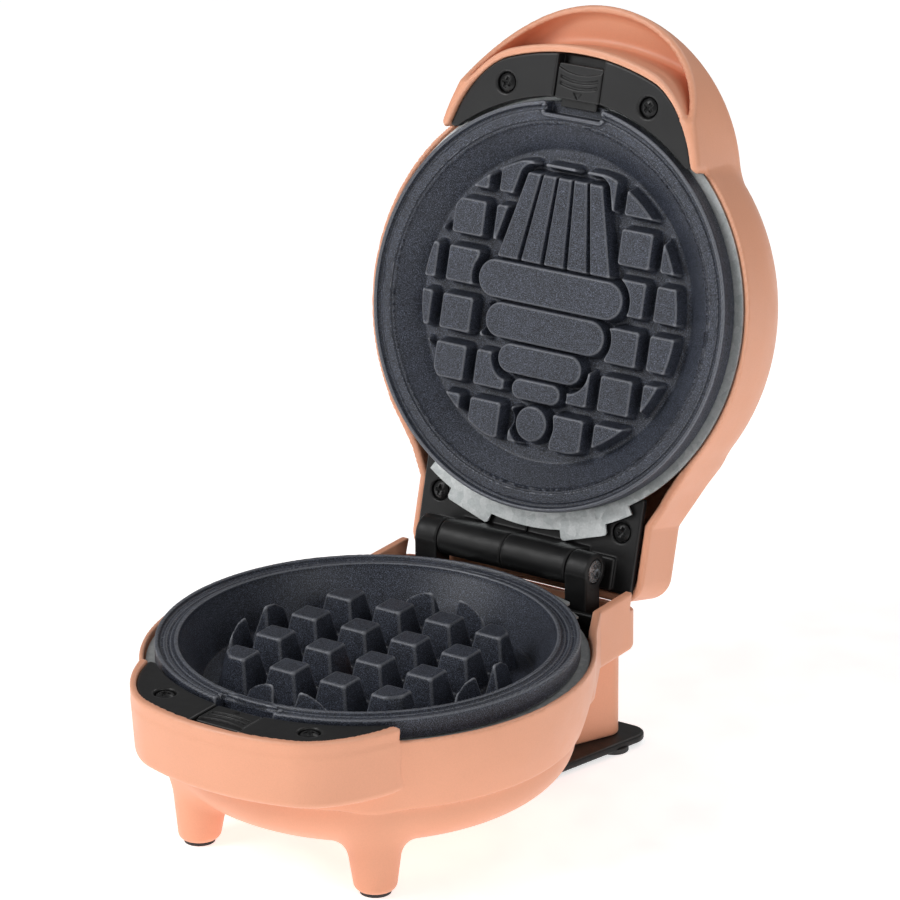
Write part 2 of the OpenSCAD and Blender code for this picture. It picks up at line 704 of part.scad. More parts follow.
// ---------- hinge ----------
module barrel(x0, x1) { translate([x0, hinge_y, axis_z]) rotate([0, 90, 0]) cylinder(r = barrel_r, h = x1 - x0); }
module axis_hole(x0, x1, r) { translate([x0, hinge_y, axis_z]) rotate([0, 90, 0]) cylinder(r = r, h = x1 - x0); }
ear_in = barrel_half - ear_w;
module base_hinge_bracket() color(black_col) base_half() difference() {
    union() {
        both_sides() {
            barrel(ear_in, barrel_half);
            translate([ear_in, hinge_y - barrel_r, base_floor_z - eps])
                cube([ear_w, barrel_r + 2.4, axis_z - base_floor_z]);
        }
        translate([-bracket_half - 1.2, hinge_y - 13.5, base_floor_z - bracket_t])
            cube([2 * bracket_half + 2.4, 18, bracket_t]);
        translate([-bracket_half - 1.2, hinge_y - 13.5, base_floor_z - eps])
            cube([2 * bracket_half + 2.4, 1.6, 5.2]);
    }
    both_sides() {
        axis_hole(ear_in - 1, barrel_half + 1, pin_r + 0.02);
        axis_hole(barrel_half - 1.9, barrel_half + 1, 3.6);
        translate([base_boss[0], base_boss[1], base_floor_z - 10]) cylinder(r = screw_r + 0.2, h = 20);
    }
    // slot for the leads to the lid
    translate([-7, hinge_y - 10, base_floor_z - 10]) cube([14, 6, 9.9]);
}
module base_hinge_screws() color(steel_col) base_half()
    both_sides() translate([base_boss[0], base_boss[1], base_floor_z + 0.05]) screw(7.5);
module hinge_pins() color(steel_col) base_half() both_sides() difference() {
    union() {
        axis_hole(8, barrel_half - 0.4, pin_r);
        axis_hole(barrel_half - 1.8, barrel_half - 0.3, 3.4);
    }
    for (a = [0, 90]) translate([barrel_half - 1, hinge_y, axis_z]) rotate([a, 0, 0])
        translate([0, -2, -0.4]) cube([5, 4, 0.8]);
}
module lid_hinge_bracket() color(black_col) lid_half() {
    k = ear_in - knuckle_gap;
    difference() {
        union() {
            barrel(-k, k);
            translate([-k, hinge_y - barrel_r, bracket_z - eps]) cube([2 * k, 2 * barrel_r, axis_z - bracket_z]);
            translate([0, 0, bracket_z - bracket_t]) linear_extrude(bracket_t) difference() {
                translate([-bracket_half, plate_r * 0.84])
                    square([2 * bracket_half, lid_back_y - wall - 0.5 - plate_r * 0.84]);
                circle(r = dish_r + sheet_t + 1.2, $fn = 120);
            }
        }
        both_sides() {
            axis_hole(6, k + 1, pin_r + pin_gap);
            translate([lid_boss[0], lid_boss[1], bracket_z - 1.4]) cylinder(r = 3.2, h = 5);
            translate([lid_boss[0], lid_boss[1], bracket_z - 10]) cylinder(r = screw_r + 0.2, h = 20);
        }
        // seam between the two middle knuckles
        translate([0, hinge_y, axis_z]) rotate([0, 90, 0]) difference() {
            cylinder(r = barrel_r + 1, h = 0.5, center = true);
            cylinder(r = barrel_r - 0.5, h = 1, center = true);
        }
        // way for the leads
        translate([-4.5, hinge_y - 20, bracket_z - 10]) cube([9, 12, 12]);
    }
}
module lid_hinge_screws() color(steel_col * 0.35) lid_half()
    both_sides() translate([lid_boss[0], lid_boss[1], bracket_z - 1.35]) screw(8);

// ---------- electrical parts in the base ----------
under_dish = -dish_depth_base - sheet_t;
module thermostat() color("gainsboro") base_half() translate([0, -20, under_dish - 0.1]) {
    translate([0, 0, -6]) cylinder(r = 8, h = 4);
    translate([0, 0, -2.1]) cylinder(r = 6.4, h = 2);
    difference() {
        translate([-12.5, -3.5, -2.9]) cube([25, 7, 0.8]);
        for (s = [-1, 1]) translate([s * 10.5, 0, -5]) cylinder(r = 1.4, h = 5);
    }
    for (s = [-1, 1]) translate([s * 5 - 0.4, -2.4, -10.5]) cube([0.8, 4.8, 5]);
}
module thermostat_screws() color(steel_col) base_half()
    for (s = [-1, 1]) translate([s * 10.5, -20, under_dish - 3.05]) mirror([0, 0, 1]) {
        cylinder(r = 2.4, h = 1.1);
        translate([0, 0, -2.8]) cylinder(r = 1.2, h = 2.85);
    }
module thermal_fuse() color("gold") base_half() translate([-22, 6, under_dish - 3]) rotate([-90, 0, 0]) {
    translate([0, 0, -6]) cylinder(r = 2, h = 12);
    translate([0, 0, -15]) cylinder(r = 0.5, h = 30);
}
module fuse_clip() color(sheet_col) base_half() translate([-22, 6, under_dish - 3]) difference() {
    translate([-2.9, -2.5, -2.9]) cube([5.8, 5, 5.7]);
    translate([0, -5, 0]) rotate([-90, 0, 0]) cylinder(r = 2.05, h = 10);
    translate([-1.2, -5, -5]) cube([2.4, 10, 4]);
}
block_at = [14, 1, rim_h - base_depth + 10.1];
module terminal_block() color("whitesmoke") translate(block_at) difference() {
    translate([-6, -16, 0]) cube([12, 32, 4.6]);
    for (y = [-11, 11]) translate([0, y, -1]) cylinder(r = screw_r + 0.2, h = 20);
    for (y = [-5, 0, 5]) {
        translate([-10, y, 2]) rotate([0, 90, 0]) cylinder(r = 1.1, h = 20);
    }
}
module terminal_screws() color(steel_col) translate(block_at)
    for (y = [-11, 11]) translate([0, y, 4.65]) screw(10.5, 2.4, 1.1);
module wire(points, r) {
    for (i = [0:len(points) - 2]) hull() {
        translate(points[i]) sphere(r = r, $fn = 14);
        translate(points[i + 1]) sphere(r = r, $fn = 14);
    }
}
// Leads run from the block into the column, clear of the ring's cold pins
module base_wiring() {
    z = block_at[2] + 2;
    y = column_y;
    color("firebrick") wire([[20.6, -4, z], [27, 8, z + 1], [29, 30, z + 3], [12, y + 4, z + 6], [5, y + 20, z + 6]], 0.9);
    color("white") wire([[20.9, 6, z], [23, 15, z + 2], [21, 22, z + 4], [9, 29, z + 6], [2, y + 5, z + 8], [-4, y + 20, z + 10]], 0.9);
    color("khaki") wire([[6.6, -5, z], [-4, -7, z + 1.5], [-14, -9, z + 3], [-20, -9.6, z + 4]], 0.9);
}
module earth_tag() color("goldenrod") base_half() translate([20, 24, under_dish - 0.9]) {
    difference() {
        union() {
            cylinder(r = 3.6, h = 0.8);
            translate([-2, -11, 0]) cube([4, 9, 0.8]);
        }
        translate([0, 0, -1]) cylinder(r = 1.6, h = 4);
    }
}

// ---------- cord entry and feet ----------
module cord_gland() color(black_col) translate([0, back_y, gland_z]) rotate([-90, 0, 0]) difference() {
    union() {
        translate([0, 0, -wall - 2.2]) cylinder(r = gland_r, h = wall + 2.2 + 0.01);
        cylinder(r = gland_r + 1.8, h = 1.6);
        translate([0, 0, -wall - 2.2]) cylinder(r = gland_r + 1.5, h = 1.9);
    }
    translate([0, 0, -20]) cylinder(r = 3, h = 40);
}
module cord_clamp() color(black_col) difference() {
    translate([-9, back_y - 21, foot_top + 0.05]) cube([18, 9, 7]);
    translate([0, back_y - 30, foot_top + 8]) rotate([-90, 0, 0]) cylinder(r = 3, h = 30);
    for (s = [-1, 1]) translate([s * 6.2, back_y - 16.5, 0]) cylinder(r = screw_r + hole_gap, h = 20);
}
module cord_clamp_screws() color(steel_col)
    for (s = [-1, 1]) translate([s * 6.2, back_y - 16.5, foot_top + 7.1]) screw(7, 2.3, 1);
module foot_2d() {
    offset(r = 7, $fn = 64) offset(delta = -7)
        polygon([[-30, column_y - 12.5], [30, column_y - 12.5],
                 [43.6, back_y + 6.6], [-43.6, back_y + 6.6]]);
}
foot_spots = [[-13, column_y + 9], [13, column_y + 9], [-22, back_y - 10.3], [22, back_y - 10.3]];
foot_post_z = foot_top + 2.6;
foot_post_h = 13;
module foot_plate() color(black_col) difference() {
    union() {
        translate([0, 0, foot_z]) linear_extrude(foot_t) foot_2d();
        for (s = foot_spots) translate([s[0], s[1], foot_top - eps]) cylinder(r = 3.6, h = 2.5);
    }
    for (s = foot_spots) {
        translate([s[0], s[1], -1]) cylinder(r = screw_r + 0.2, h = 20);
        translate([s[0], s[1], -1]) cylinder(r = 3.2, h = 1 + foot_z + 1.7);
    }
    both_sides() translate([rear_pad[0], rear_pad[1], -eps]) cylinder(r = rear_pad[2] + 0.1, h = foot_z + 0.6);
}
rear_pad = [35.5, back_y - 7, 4.5];
module foot_plate_screws() color(steel_col) for (s = foot_spots)
    translate([s[0], s[1], foot_z + 1.65]) mirror([0, 0, 1]) screw(9.5, 2.8, 1.2);
module front_pads() color([0.2, 0.2, 0.2]) both_sides()
    translate([leg_x, -leg_y, 0]) cylinder(r = leg_r - 1.5, h = pad_t + 0.85);
module rear_pads() color([0.2, 0.2, 0.2]) both_sides()
    translate([rear_pad[0], rear_pad[1], 0]) cylinder(r = rear_pad[2], h = foot_z + 0.55);

// ---------- electrical parts in the lid ----------
over_dish = -dish_depth_lid - sheet_t;
module lid_cutout() color("gainsboro") lid_half() translate([0, -20, over_dish - 0.1]) {
    translate([0, 0, -5.4]) cylinder(r = 7.2, h = 3.4);
    translate([0, 0, -2.1]) cylinder(r = 6, h = 2);
    difference() {
        translate([-12, -3.2, -2.9]) cube([24, 6.4, 0.8]);
        for (s = [-1, 1]) translate([s * 10, 0, -5]) cylinder(r = 1.4, h = 5);
    }
    for (s = [-1, 1]) translate([s * 4.6 - 0.4, -2.4, -9]) cube([0.8, 4.8, 4]);
}
module lid_cutout_screws() color(steel_col) lid_half()
    for (s = [-1, 1]) translate([s * 10, -20, over_dish - 3.05]) mirror([0, 0, 1]) {
        cylinder(r = 2.3, h = 1);
        translate([0, 0, -2.8]) cylinder(r = 1.2, h = 2.85);
    }
module lamp_lens() color([0.9, 0.25, 0.2]) lid_half() translate([0, lamp_y, -lid_depth - 0.6]) {
    cylinder(r = lamp_r, h = wall + 3);
    cylinder(r = lamp_r + 1, h = 0.55);
}
module lamp_bulb() color("orange") lid_half() translate([0, lamp_y, -lid_depth + wall + 2.7]) {
    cylinder(r = 1.9, h = 5);
}
module lamp_holder() color("whitesmoke") lid_half() translate([0, lamp_y, -lid_depth + wall + 0.3]) difference() {
    cylinder(r = lamp_r + 2.4, h = 8.4);
    translate([0, 0, -1]) cylinder(r = lamp_r + 0.1, h = 3.3);
    translate([0, 0, 1]) cylinder(r = 2, h = 6.5);
}
module lid_wiring() lid_half() for (s = [-1, 1])
    color(s > 0 ? "firebrick" : "white")
        wire([[s * 16, 40, over_dish - 9], [s * 10, 50, over_dish - 7],
              [s * 4, hinge_y - 14, over_dish - 4], [s * 2, hinge_y - 11, bracket_z - 5]], 0.9);

base_shell();
base_half() trim();  // base_trim
base_half() trim_screws();  // base_trim_screws
base_plate();
base_half() reflector(dish_depth_base);  // base_reflector
base_half() reflector_screws(dish_depth_base);  // base_reflector_screws
base_half() heater(base_floor, dish_depth_base);  // base_heater
base_half() heater_bushings(dish_depth_base);  // base_heater_bushings
base_half() heater_clips(base_floor, dish_depth_base);  // base_heater_clips
base_half() catch_part();  // base_catch
base_half() catch_spring();  // base_catch_spring
base_hinge_bracket();
base_hinge_screws();
hinge_pins();
thermostat();
thermostat_screws();
thermal_fuse();
fuse_clip();
terminal_block();
terminal_screws();
base_wiring();
earth_tag();
cord_gland();
cord_clamp();
cord_clamp_screws();
foot_plate();
foot_plate_screws();
front_pads();
rear_pads();
lid_shell();
lid_half() trim();  // lid_trim
lid_half() trim_screws();  // lid_trim_screws
lid_plate();
lid_half() reflector(dish_depth_lid);  // lid_reflector
lid_half() reflector_screws(dish_depth_lid);  // lid_reflector_screws
lid_half() heater(lid_floor, dish_depth_lid);  // lid_heater
lid_half() heater_bushings(dish_depth_lid);  // lid_heater_bushings
lid_half() heater_clips(lid_floor, dish_depth_lid);  // lid_heater_clips
lid_half() catch_part();  // lid_catch
lid_half() catch_spring();  // lid_catch_spring
lid_hinge_bracket();
lid_hinge_screws();
lid_cutout();
lid_cutout_screws();
lamp_lens();
lamp_bulb();
lamp_holder();
lid_wiring();
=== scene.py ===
"""Looks of the compact waffle maker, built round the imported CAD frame."""
import json
import math
import bpy
import numpy as np
from mathutils import Matrix, Vector


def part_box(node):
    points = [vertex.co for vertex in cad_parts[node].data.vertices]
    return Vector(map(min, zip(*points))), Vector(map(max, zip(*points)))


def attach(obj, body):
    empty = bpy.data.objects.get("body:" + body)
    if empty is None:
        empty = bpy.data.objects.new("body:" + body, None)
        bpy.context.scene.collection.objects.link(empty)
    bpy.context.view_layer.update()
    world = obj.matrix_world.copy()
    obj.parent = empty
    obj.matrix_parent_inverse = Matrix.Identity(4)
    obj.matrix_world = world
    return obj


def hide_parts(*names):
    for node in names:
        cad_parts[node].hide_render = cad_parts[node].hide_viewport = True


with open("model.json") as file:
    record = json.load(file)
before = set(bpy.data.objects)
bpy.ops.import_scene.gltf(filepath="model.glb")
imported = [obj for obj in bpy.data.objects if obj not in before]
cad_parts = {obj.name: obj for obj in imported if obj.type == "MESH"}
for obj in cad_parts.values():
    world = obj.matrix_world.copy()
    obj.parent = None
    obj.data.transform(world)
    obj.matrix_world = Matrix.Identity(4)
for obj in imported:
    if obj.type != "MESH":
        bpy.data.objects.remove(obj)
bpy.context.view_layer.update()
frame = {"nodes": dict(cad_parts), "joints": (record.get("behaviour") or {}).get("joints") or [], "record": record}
MM = 1000.0


# ---------------------------------------------------------------- sizes in millimetres
def span(node):
    """Low and high corner of a CAD node's box."""
    lo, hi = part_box(node)
    return np.array(lo) * MM, np.array(hi) * MM


joint = {j["name"]: j for j in frame["joints"]}
R = span("base_plate")[1][0]                      # radius of the plates' rims
RIM = span("base_plate")[1][2]                    # height of the lower plate's rim
HINGE_Y = joint["lid_hinge"]["pos_m"][1] * MM
AXIS = joint["lid_hinge"]["pos_m"][2] * MM - RIM  # hinge axis above the rim plane
OPEN = math.radians(joint["lid_hinge"]["range_deg"][1])
SHELL_R = span("lid_shell")[1][0]
FRONT_R = -span("base_trim")[0][1] + 0.25         # trims' front edge, with its gap
BACK_Y = span("base_shell")[1][1]                 # rear face of the base
FOOT_TOP = span("foot_plate")[0][2] + 2.4
WALL = 2.4                                        # shells' wall
LIP = 2.5                                         # front lips' thickness, outside the trims
LIP_TOP = -0.3
LIP_RUN = 6.0                                     # how far behind the lips' tips the bumpers stay solid
RIM_DROP = 4.9                                    # shells' rims below the plates' rims
BAND_H = 27.5                                     # depth of the lower shell's band, above its belly
BASE_DEPTH = 48.2
LID_DEPTH = 39.0
LID_BACK = BACK_Y - 0.2
BOX_W = R * 0.675                                 # half width of the rear boxes
BOX_LOW = -23.5
COLUMN_FRONT = R - 15
TIP_Y = -(R - 13.2)                               # where the front lips end at the sides
TIP_X = math.sqrt((SHELL_R - 0.3) ** 2 - TIP_Y ** 2) - LIP + 0.5
LEAN = 0.336                                      # slope of the front lips' sides
EDGE_T = 1.4                                      # thickness of the shells' bare edge
SEAT_Z = -RIM_DROP - 2.3                          # floor of the step inside that edge
TRIM_FACE = -0.9
TRIM_T = 2.6
SLOT = 8.05                                       # half width of the catches' slots
SKIRT_LOW = -5.8                                  # lower edge of the trims' skirts and the pans' notch walls
SCREW_X = 24.7                                    # trims' screws
SCREW_Y = -(R + 2.4)
SCREW_BORE_R = 1.5
SCREW_SEAT_R = 3.2
HEAD_R, HEAD_H = 2.7, 1.3
HINGE_FACE = -8.0                                 # face of the lid's hinge plate
HINGE_SEAT = HINGE_FACE - 1.35
HINGE_SCREW_X = 32.3
HINGE_SCREW_Y = R + 1.2
PIVOT_R = 2.05
GLAND_Z, GLAND_R = 19 - RIM, 4.75                 # cord's way through the column's rear face
LAMP_Y, LAMP_R = 8.0, 3.15                        # pilot lamp's window in the lid


# ---------------------------------------------------------------- frames of the two halves
def base_place(p):
    """Points of the lower half, from its own millimetres to the scene's metres."""
    return np.stack([p[:, 0], p[:, 1], p[:, 2] + RIM], 1) / MM


def lid_place(p):
    """The same for the upper half, mirrored in height and opened round the hinge's axis."""
    y, z = p[:, 1] - HINGE_Y, AXIS - p[:, 2]
    c, s = math.cos(OPEN), -math.sin(OPEN)
    return np.stack([p[:, 0], c * y - s * z + HINGE_Y, s * y + c * z + AXIS + RIM], 1) / MM


def to_lid(y, z):
    """Base-half coordinates turned into the open lid's own."""
    dy, dz = y - HINGE_Y, z - AXIS
    c, s = math.cos(OPEN), math.sin(OPEN)
    return c * dy - s * dz + HINGE_Y, AXIS - (s * dy + c * dz)


def as_is(p):
    return p / MM


# ---------------------------------------------------------------- distance fields
def smin(a, b, k):
    """Union that blends over about k."""
    h = np.clip(0.5 + 0.5 * (b - a) / k, 0, 1)
    return b + (a - b) * h - k * h * (1 - h)


def smax(a, b, k):
    return -smin(-a, -b, k)


def rmax(a, b, r):
    """Intersection with a round edge of radius r."""
    return np.minimum(np.maximum(a, b), -r) + np.hypot(np.maximum(a + r, 0), np.maximum(b + r, 0))


def rmin(a, b, r):
    """Union with a round inner corner of radius r."""
    return -rmax(-a, -b, r)


def slab(z, lo, hi):
    """Distance to the layer between lo and hi."""
    return np.abs(z - (lo + hi) / 2) - (hi - lo) / 2


def prism(plan, z, lo, hi, r):
    """An outline between two heights, with its edges rounded by r."""
    return rmax(plan, slab(z, lo, hi), r)


def rect(x, y, cx, cy, hx, hy, r=0.0):
    """Rectangle round (cx, cy) with half sizes hx and hy and corners of radius r."""
    qx, qy = np.abs(x - cx) - hx + r, np.abs(y - cy) - hy + r
    return np.minimum(np.maximum(qx, qy), 0) + np.hypot(np.maximum(qx, 0), np.maximum(qy, 0)) - r


def polygon(px, py, points):
    """Exact signed distance to a closed polygon."""
    d = np.full(np.broadcast(px, py).shape, 1e9)
    inside = np.zeros(d.shape, bool)
    n = len(points)
    for i in range(n):
        ax, ay = points[i]
        bx, by = points[(i + 1) % n]
        ex, ey = bx - ax, by - ay
        wx, wy = px - ax, py - ay
        t = np.clip((wx * ex + wy * ey) / max(ex * ex + ey * ey, 1e-12), 0, 1)
        d = np.minimum(d, (wx - ex * t) ** 2 + (wy - ey * t) ** 2)
        if ay != by:
            cross = (ay > py) != (by > py)
            inside ^= cross & (px < ex * (py - ay) / ey + ax)
    d = np.sqrt(d)
    return np.where(inside, -d, d)


class Table:
    """A profile's distance field, stored on a fine grid and read back between its points."""

    def __init__(self, points, pad, step):
        pts = np.array(points)
        self.lo = np.array([-1.0, pts[:, 1].min() - pad])
        hi = np.array([pts[:, 0].max() + pad, pts[:, 1].max() + pad])
        self.n = np.ceil((hi - self.lo) / step).astype(int) + 1
        self.step = step
        u = self.lo[0] + step * np.arange(self.n[0])[:, None]
        v = self.lo[1] + step * np.arange(self.n[1])[None, :]
        self.grid = polygon(u, v, points)

    def __call__(self, u, v):
        fu = np.clip((u - self.lo[0]) / self.step, 0, self.n[0] - 1.001)
        fv = np.clip((v - self.lo[1]) / self.step, 0, self.n[1] - 1.001)
        iu, iv = fu.astype(int), fv.astype(int)
        tu, tv = fu - iu, fv - iv
        g = self.grid
        return ((g[iu, iv] * (1 - tv) + g[iu, iv + 1] * tv) * (1 - tu)
                + (g[iu + 1, iv] * (1 - tv) + g[iu + 1, iv + 1] * tv) * tu)


CORNERS = np.array([[i, j, k] for i in (0, 1) for j in (0, 1) for k in (0, 1)])
EDGES = [(a, b) for a in range(8) for b in range(a + 1, 8) if np.abs(CORNERS[a] - CORNERS[b]).sum() == 1]


def net(field, lo, hi, h):
    """Quads over the field's zero surface, with their points moved onto it."""
    axes = [np.arange(a, b + h, h) for a, b in zip(lo, hi)]
    f = np.broadcast_to(field(axes[0][:, None, None], axes[1][None, :, None], axes[2][None, None, :]),
                        [len(a) for a in axes])
    s = f < 0
    n = np.array(f.shape) - 1
    count = sum(s[c[0]:n[0] + c[0], c[1]:n[1] + c[1], c[2]:n[2] + c[2]].astype(np.uint8) for c in CORNERS)
    mixed = (count > 0) & (count < 8)
    cells = np.argwhere(mixed)
    ids = np.full(mixed.shape, -1, np.int32)
    ids[mixed] = np.arange(len(cells))
    values = np.stack([f[tuple((cells + c).T)] for c in CORNERS], 1)
    total = np.zeros((len(cells), 3))
    hits = np.zeros(len(cells))
    for a, b in EDGES:
        va, vb = values[:, a], values[:, b]
        m = (va < 0) != (vb < 0)
        t = (va[m] / (va[m] - vb[m]))[:, None]
        total[m] += CORNERS[a] + (CORNERS[b] - CORNERS[a]) * t
        hits[m] += 1
    points = (cells + total / hits[:, None]) * h + np.array([a[0] for a in axes])
    quads = []
    for axis in range(3):
        u, v = (axis + 1) % 3, (axis + 2) % 3
        near = np.take(s, range(s.shape[axis] - 1), axis)
        far = np.take(s, range(1, s.shape[axis]), axis)
        at = np.argwhere(near != far)
        at = at[(at[:, u] > 0) & (at[:, v] > 0) & (at[:, u] < s.shape[u] - 1) & (at[:, v] < s.shape[v] - 1)]
        ring = []
        for du, dv in ((-1, -1), (0, -1), (0, 0), (-1, 0)):
            q = at.copy()
            q[:, u] += du
            q[:, v] += dv
            ring.append(ids[tuple(q.T)])
        ring = np.stack(ring, 1)
        out = near[tuple(at.T)]
        quads.append(np.where(out[:, None], ring, ring[:, ::-1]))
    quads = np.concatenate(quads)
    quads = quads[(quads >= 0).all(1)]
    probe = 0.04
    for _ in range(2):
        f0 = field(*points.T)
        slopes = [field(*(points + d).T) - field(*(points - d).T) for d in np.eye(3) * probe]
        g = np.stack(slopes, 1) / (2 * probe)
        length = np.maximum((g * g).sum(1), 0.25)
        move = np.clip(-f0 / length, -0.5 * h, 0.5 * h)[:, None] * g
        points = points + move
    return points, quads, edges_of(field, points, g)


def edges_of(field, points, g, reach=0.55):
    """How sharply the surface turns away (above 0) or in (below 0) round each point."""
    n = g / np.maximum(np.linalg.norm(g, axis=1, keepdims=True), 1e-6)
    side = np.where(np.abs(n[:, :1]) < 0.7, [[1.0, 0, 0]], [[0, 1.0, 0]])
    a = np.cross(n, side)
    a /= np.maximum(np.linalg.norm(a, axis=1, keepdims=True), 1e-6)
    b = np.cross(n, a)
    around = [reach * math.cos(t) * a + reach * math.sin(t) * b for t in np.arange(6) * math.pi / 3]
    return sum(field(*(points + d).T) for d in around) / (6 * reach)


def mesh(name, points, faces, body, material, replaces, edge=None):
    """A piece that rides its body and stands in for the CAD nodes it replaces."""
    data = bpy.data.meshes.new(name)
    faces = np.asarray(faces)
    data.vertices.add(len(points))
    data.vertices.foreach_set("co", np.asarray(points, np.float32).ravel())
    data.loops.add(faces.size)
    data.loops.foreach_set("vertex_index", faces.astype(np.int32).ravel())
    data.polygons.add(len(faces))
    data.polygons.foreach_set("loop_start", np.arange(0, faces.size, faces.shape[1], dtype=np.int32))
    data.update(calc_edges=True)
    if edge is not None:
        data.attributes.new("edge", "FLOAT", "POINT").data.foreach_set("value", np.asarray(edge, np.float32))
    data.validate()
    data.polygons.foreach_set("use_smooth", np.ones(len(data.polygons), bool))
    data.materials.append(material)
    obj = bpy.data.objects.new(name, data)
    bpy.context.scene.collection.objects.link(obj)
    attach(obj, body)
    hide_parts(*replaces)


def carve(name, field, lo, hi, h, place, body, material, replaces, flip=False):
    """The piece whose surface is the field's zero, meshed at step h inside the box from lo to hi."""
    points, quads, edge = net(field, lo, hi, h)
    if flip:
        quads = quads[:, ::-1]
    mesh(name, place(points), quads, body, material, replaces, edge)


# ---------------------------------------------------------------- outlines shared by both halves
def front_plan(x, y, grow):
    """Outline of the trims' space, grown outwards to the outside of the front lips."""
    side = (np.abs(x) - TIP_X - (y - TIP_Y) * LEAN) / math.hypot(1, LEAN)
    return rmax(np.hypot(x, y) - FRONT_R - grow, side - grow, 9 + grow)


def box_plan(x, y, back):
    """Outline of a half's rear box and the neck before it."""
    neck_x, neck_y = R * 0.86, R * 0.6
    pts = [(-neck_x, neck_y - 20), (neck_x, neck_y - 20), (neck_x, neck_y), (BOX_W, R * 0.95),
           (BOX_W, back), (-BOX_W, back), (-BOX_W, R * 0.95), (-neck_x, neck_y)]
    corner = 7.5
    inset = [(px * (1 - corner / abs(px)), py - corner * (py == back) + corner * (py == neck_y - 20))
             for px, py in pts]
    return polygon(x, y, inset) - corner


def superellipse(a, c, n, top, count=28):
    """Points of a quarter outline, from (a, top) down to (0, top - c)."""
    out = []
    for i in range(count + 1):
        t = math.pi / 2 * i / count
        out.append((a * math.cos(t) ** (2 / n), top - c * math.sin(t) ** (2 / n)))
    return out


def band_r(z):
    """Radius of the lower shell's band, which draws in towards the belly."""
    return SHELL_R - 6.1 * ((-z - RIM_DROP) / BAND_H) ** 2


def base_profile():
    belly_r = band_r(-BAND_H) - 1.5
    pts = [(-1, 12), (SHELL_R, 12), (SHELL_R, -RIM_DROP)]
    pts += [(band_r(z), z) for z in np.linspace(-RIM_DROP, -BAND_H + 0.7, 12)[1:]]
    pts += [(band_r(-BAND_H) - 0.25, -BAND_H + 0.15), (band_r(-BAND_H) - 0.75, -BAND_H)]
    pts += [(belly_r, -BAND_H - 0.15)]
    pts += superellipse(belly_r, BASE_DEPTH - BAND_H - 0.5, 2.6, -BAND_H - 0.5)[1:]
    return pts + [(-1, -BASE_DEPTH)]


def lid_profile():
    pts = [(-1, 12), (SHELL_R, 12), (SHELL_R, -10)]
    pts += superellipse(SHELL_R, LID_DEPTH - 10, 4.2, -10)[1:]
    return pts + [(-1, -LID_DEPTH)]


BASE_TABLE = Table(base_profile(), 14.0, 0.25)
LID_TABLE = Table(lid_profile(), 14.0, 0.25)


def bumper(x, y, z, low, r_low=1.6):
    """Raised front lip and the band below it."""
    plan = front_plan(x, y, LIP) + 2.1 * np.clip(-z / BAND_H, 0, 1.2)
    return smax(rmax(plan, low - z, r_low), y - TIP_Y - 26, 3)


def top_cut(y, z, body, front, rear_top):
    """Front lip high, the rest of the edge low, each with a soft edge."""
    lip = rmax(rmax(front, z - LIP_TOP, 0.9), y - TIP_Y, 1.6)
    rest = rmax(np.minimum(body, front), z - rear_top, 0.35)
    return rmin(lip, rest, 0.8)


# ---------------------------------------------------------------- lower shell
def column_plan(x, y, grow=0.0):
    """Outline of the rear column, wider at the back."""
    corner = 4
    front, back = COLUMN_FRONT + corner, BACK_Y - corner
    return polygon(x, y, [(-17, front), (17, front), (30.5, back), (-30.5, back)]) - corner - grow


LEG_X, LEG_Y, LEG_R, LEG_FLARE = 30.7, -41.6, 6.0, 3.4


def leg(x, y, z):
    """Front leg on each side, wider and further in towards its top."""
    low, high = -RIM + 1, -BAND_H - 4
    t = np.clip((z - low) / (high - low), 0, 1.15)
    cone = (np.hypot(np.abs(x) - LEG_X + t, y - LEG_Y - t) - LEG_R - LEG_FLARE * t) * 0.99
    return rmax(cone, slab(z, low, -BAND_H + 6.5), 1.8)


def base_outer(x, y, z):
    """The lower shell's closed body with its rear box, and its front bumper."""
    body = BASE_TABLE(np.hypot(x, y), z)
    rear = rmax(box_plan(x, y, BACK_Y), BOX_LOW - z, 1.6)
    rear = np.maximum(rear, 6 - y)
    return smin(body, rear, 2.0), bumper(x, y, z, -BAND_H + 7)


def base_shell(x, y, z):
    body, front = base_outer(x, y, z)
    solid = top_cut(y, z, body, front, -RIM_DROP)
    column = rmax(column_plan(x, y), slab(z, FOOT_TOP - RIM, BOX_LOW + 4), 0.6)
    solid = smin(solid, column, 1.6)
    solid = smin(solid, leg(x, y, z), 4.5)
    rho = np.hypot(x, y)
    inner = np.minimum(body, np.maximum(front, TIP_Y + LIP_RUN - y)) + WALL
    hollow = np.minimum(inner, rmax(rho - SHELL_R + EDGE_T, SEAT_Z - z, 0.3))
    pocket = np.maximum(front_plan(x, y, 0.0), TRIM_FACE - TRIM_T - 6 - z)
    pocket = np.maximum(pocket, y - TIP_Y)
    hollow = np.minimum(hollow, pocket)
    well = np.maximum(column_plan(x, y, -WALL), z - BOX_LOW - WALL)
    hollow = np.minimum(hollow, well)
    solid = rmax(solid, -hollow, 0.3)
    ly, lz = to_lid(y, z)
    lid_space = np.maximum(np.maximum(ly - LID_BACK - 0.4, HINGE_Y - 40 - ly), lz + RIM_DROP - 0.4)
    solid = rmax(solid, -lid_space, 0.5)
    gland = np.maximum(np.hypot(x, z - GLAND_Z) - GLAND_R, BACK_Y - 10 - y)
    return np.maximum(solid, -gland)


# ---------------------------------------------------------------- lid shell
HANDLE_R = 43.6
HANDLE_REACH = 12.1                               # how far the handle stands out before the front lip
HANDLE_Y = -(FRONT_R + LIP + HANDLE_REACH - HANDLE_R)
HANDLE_FRONT = HANDLE_Y - HANDLE_R
HANDLE_START = TIP_Y - 13.7
HANDLE_DROP = 13.5
HANDLE_T = 4.1                                    # height of the handle's front
HANDLE_LEAN = math.tan(math.radians(16.7))
HANDLE_TRUE = 0.958                               # turns a height on the leaning face into a distance
HANDLE_WALL = 2.0


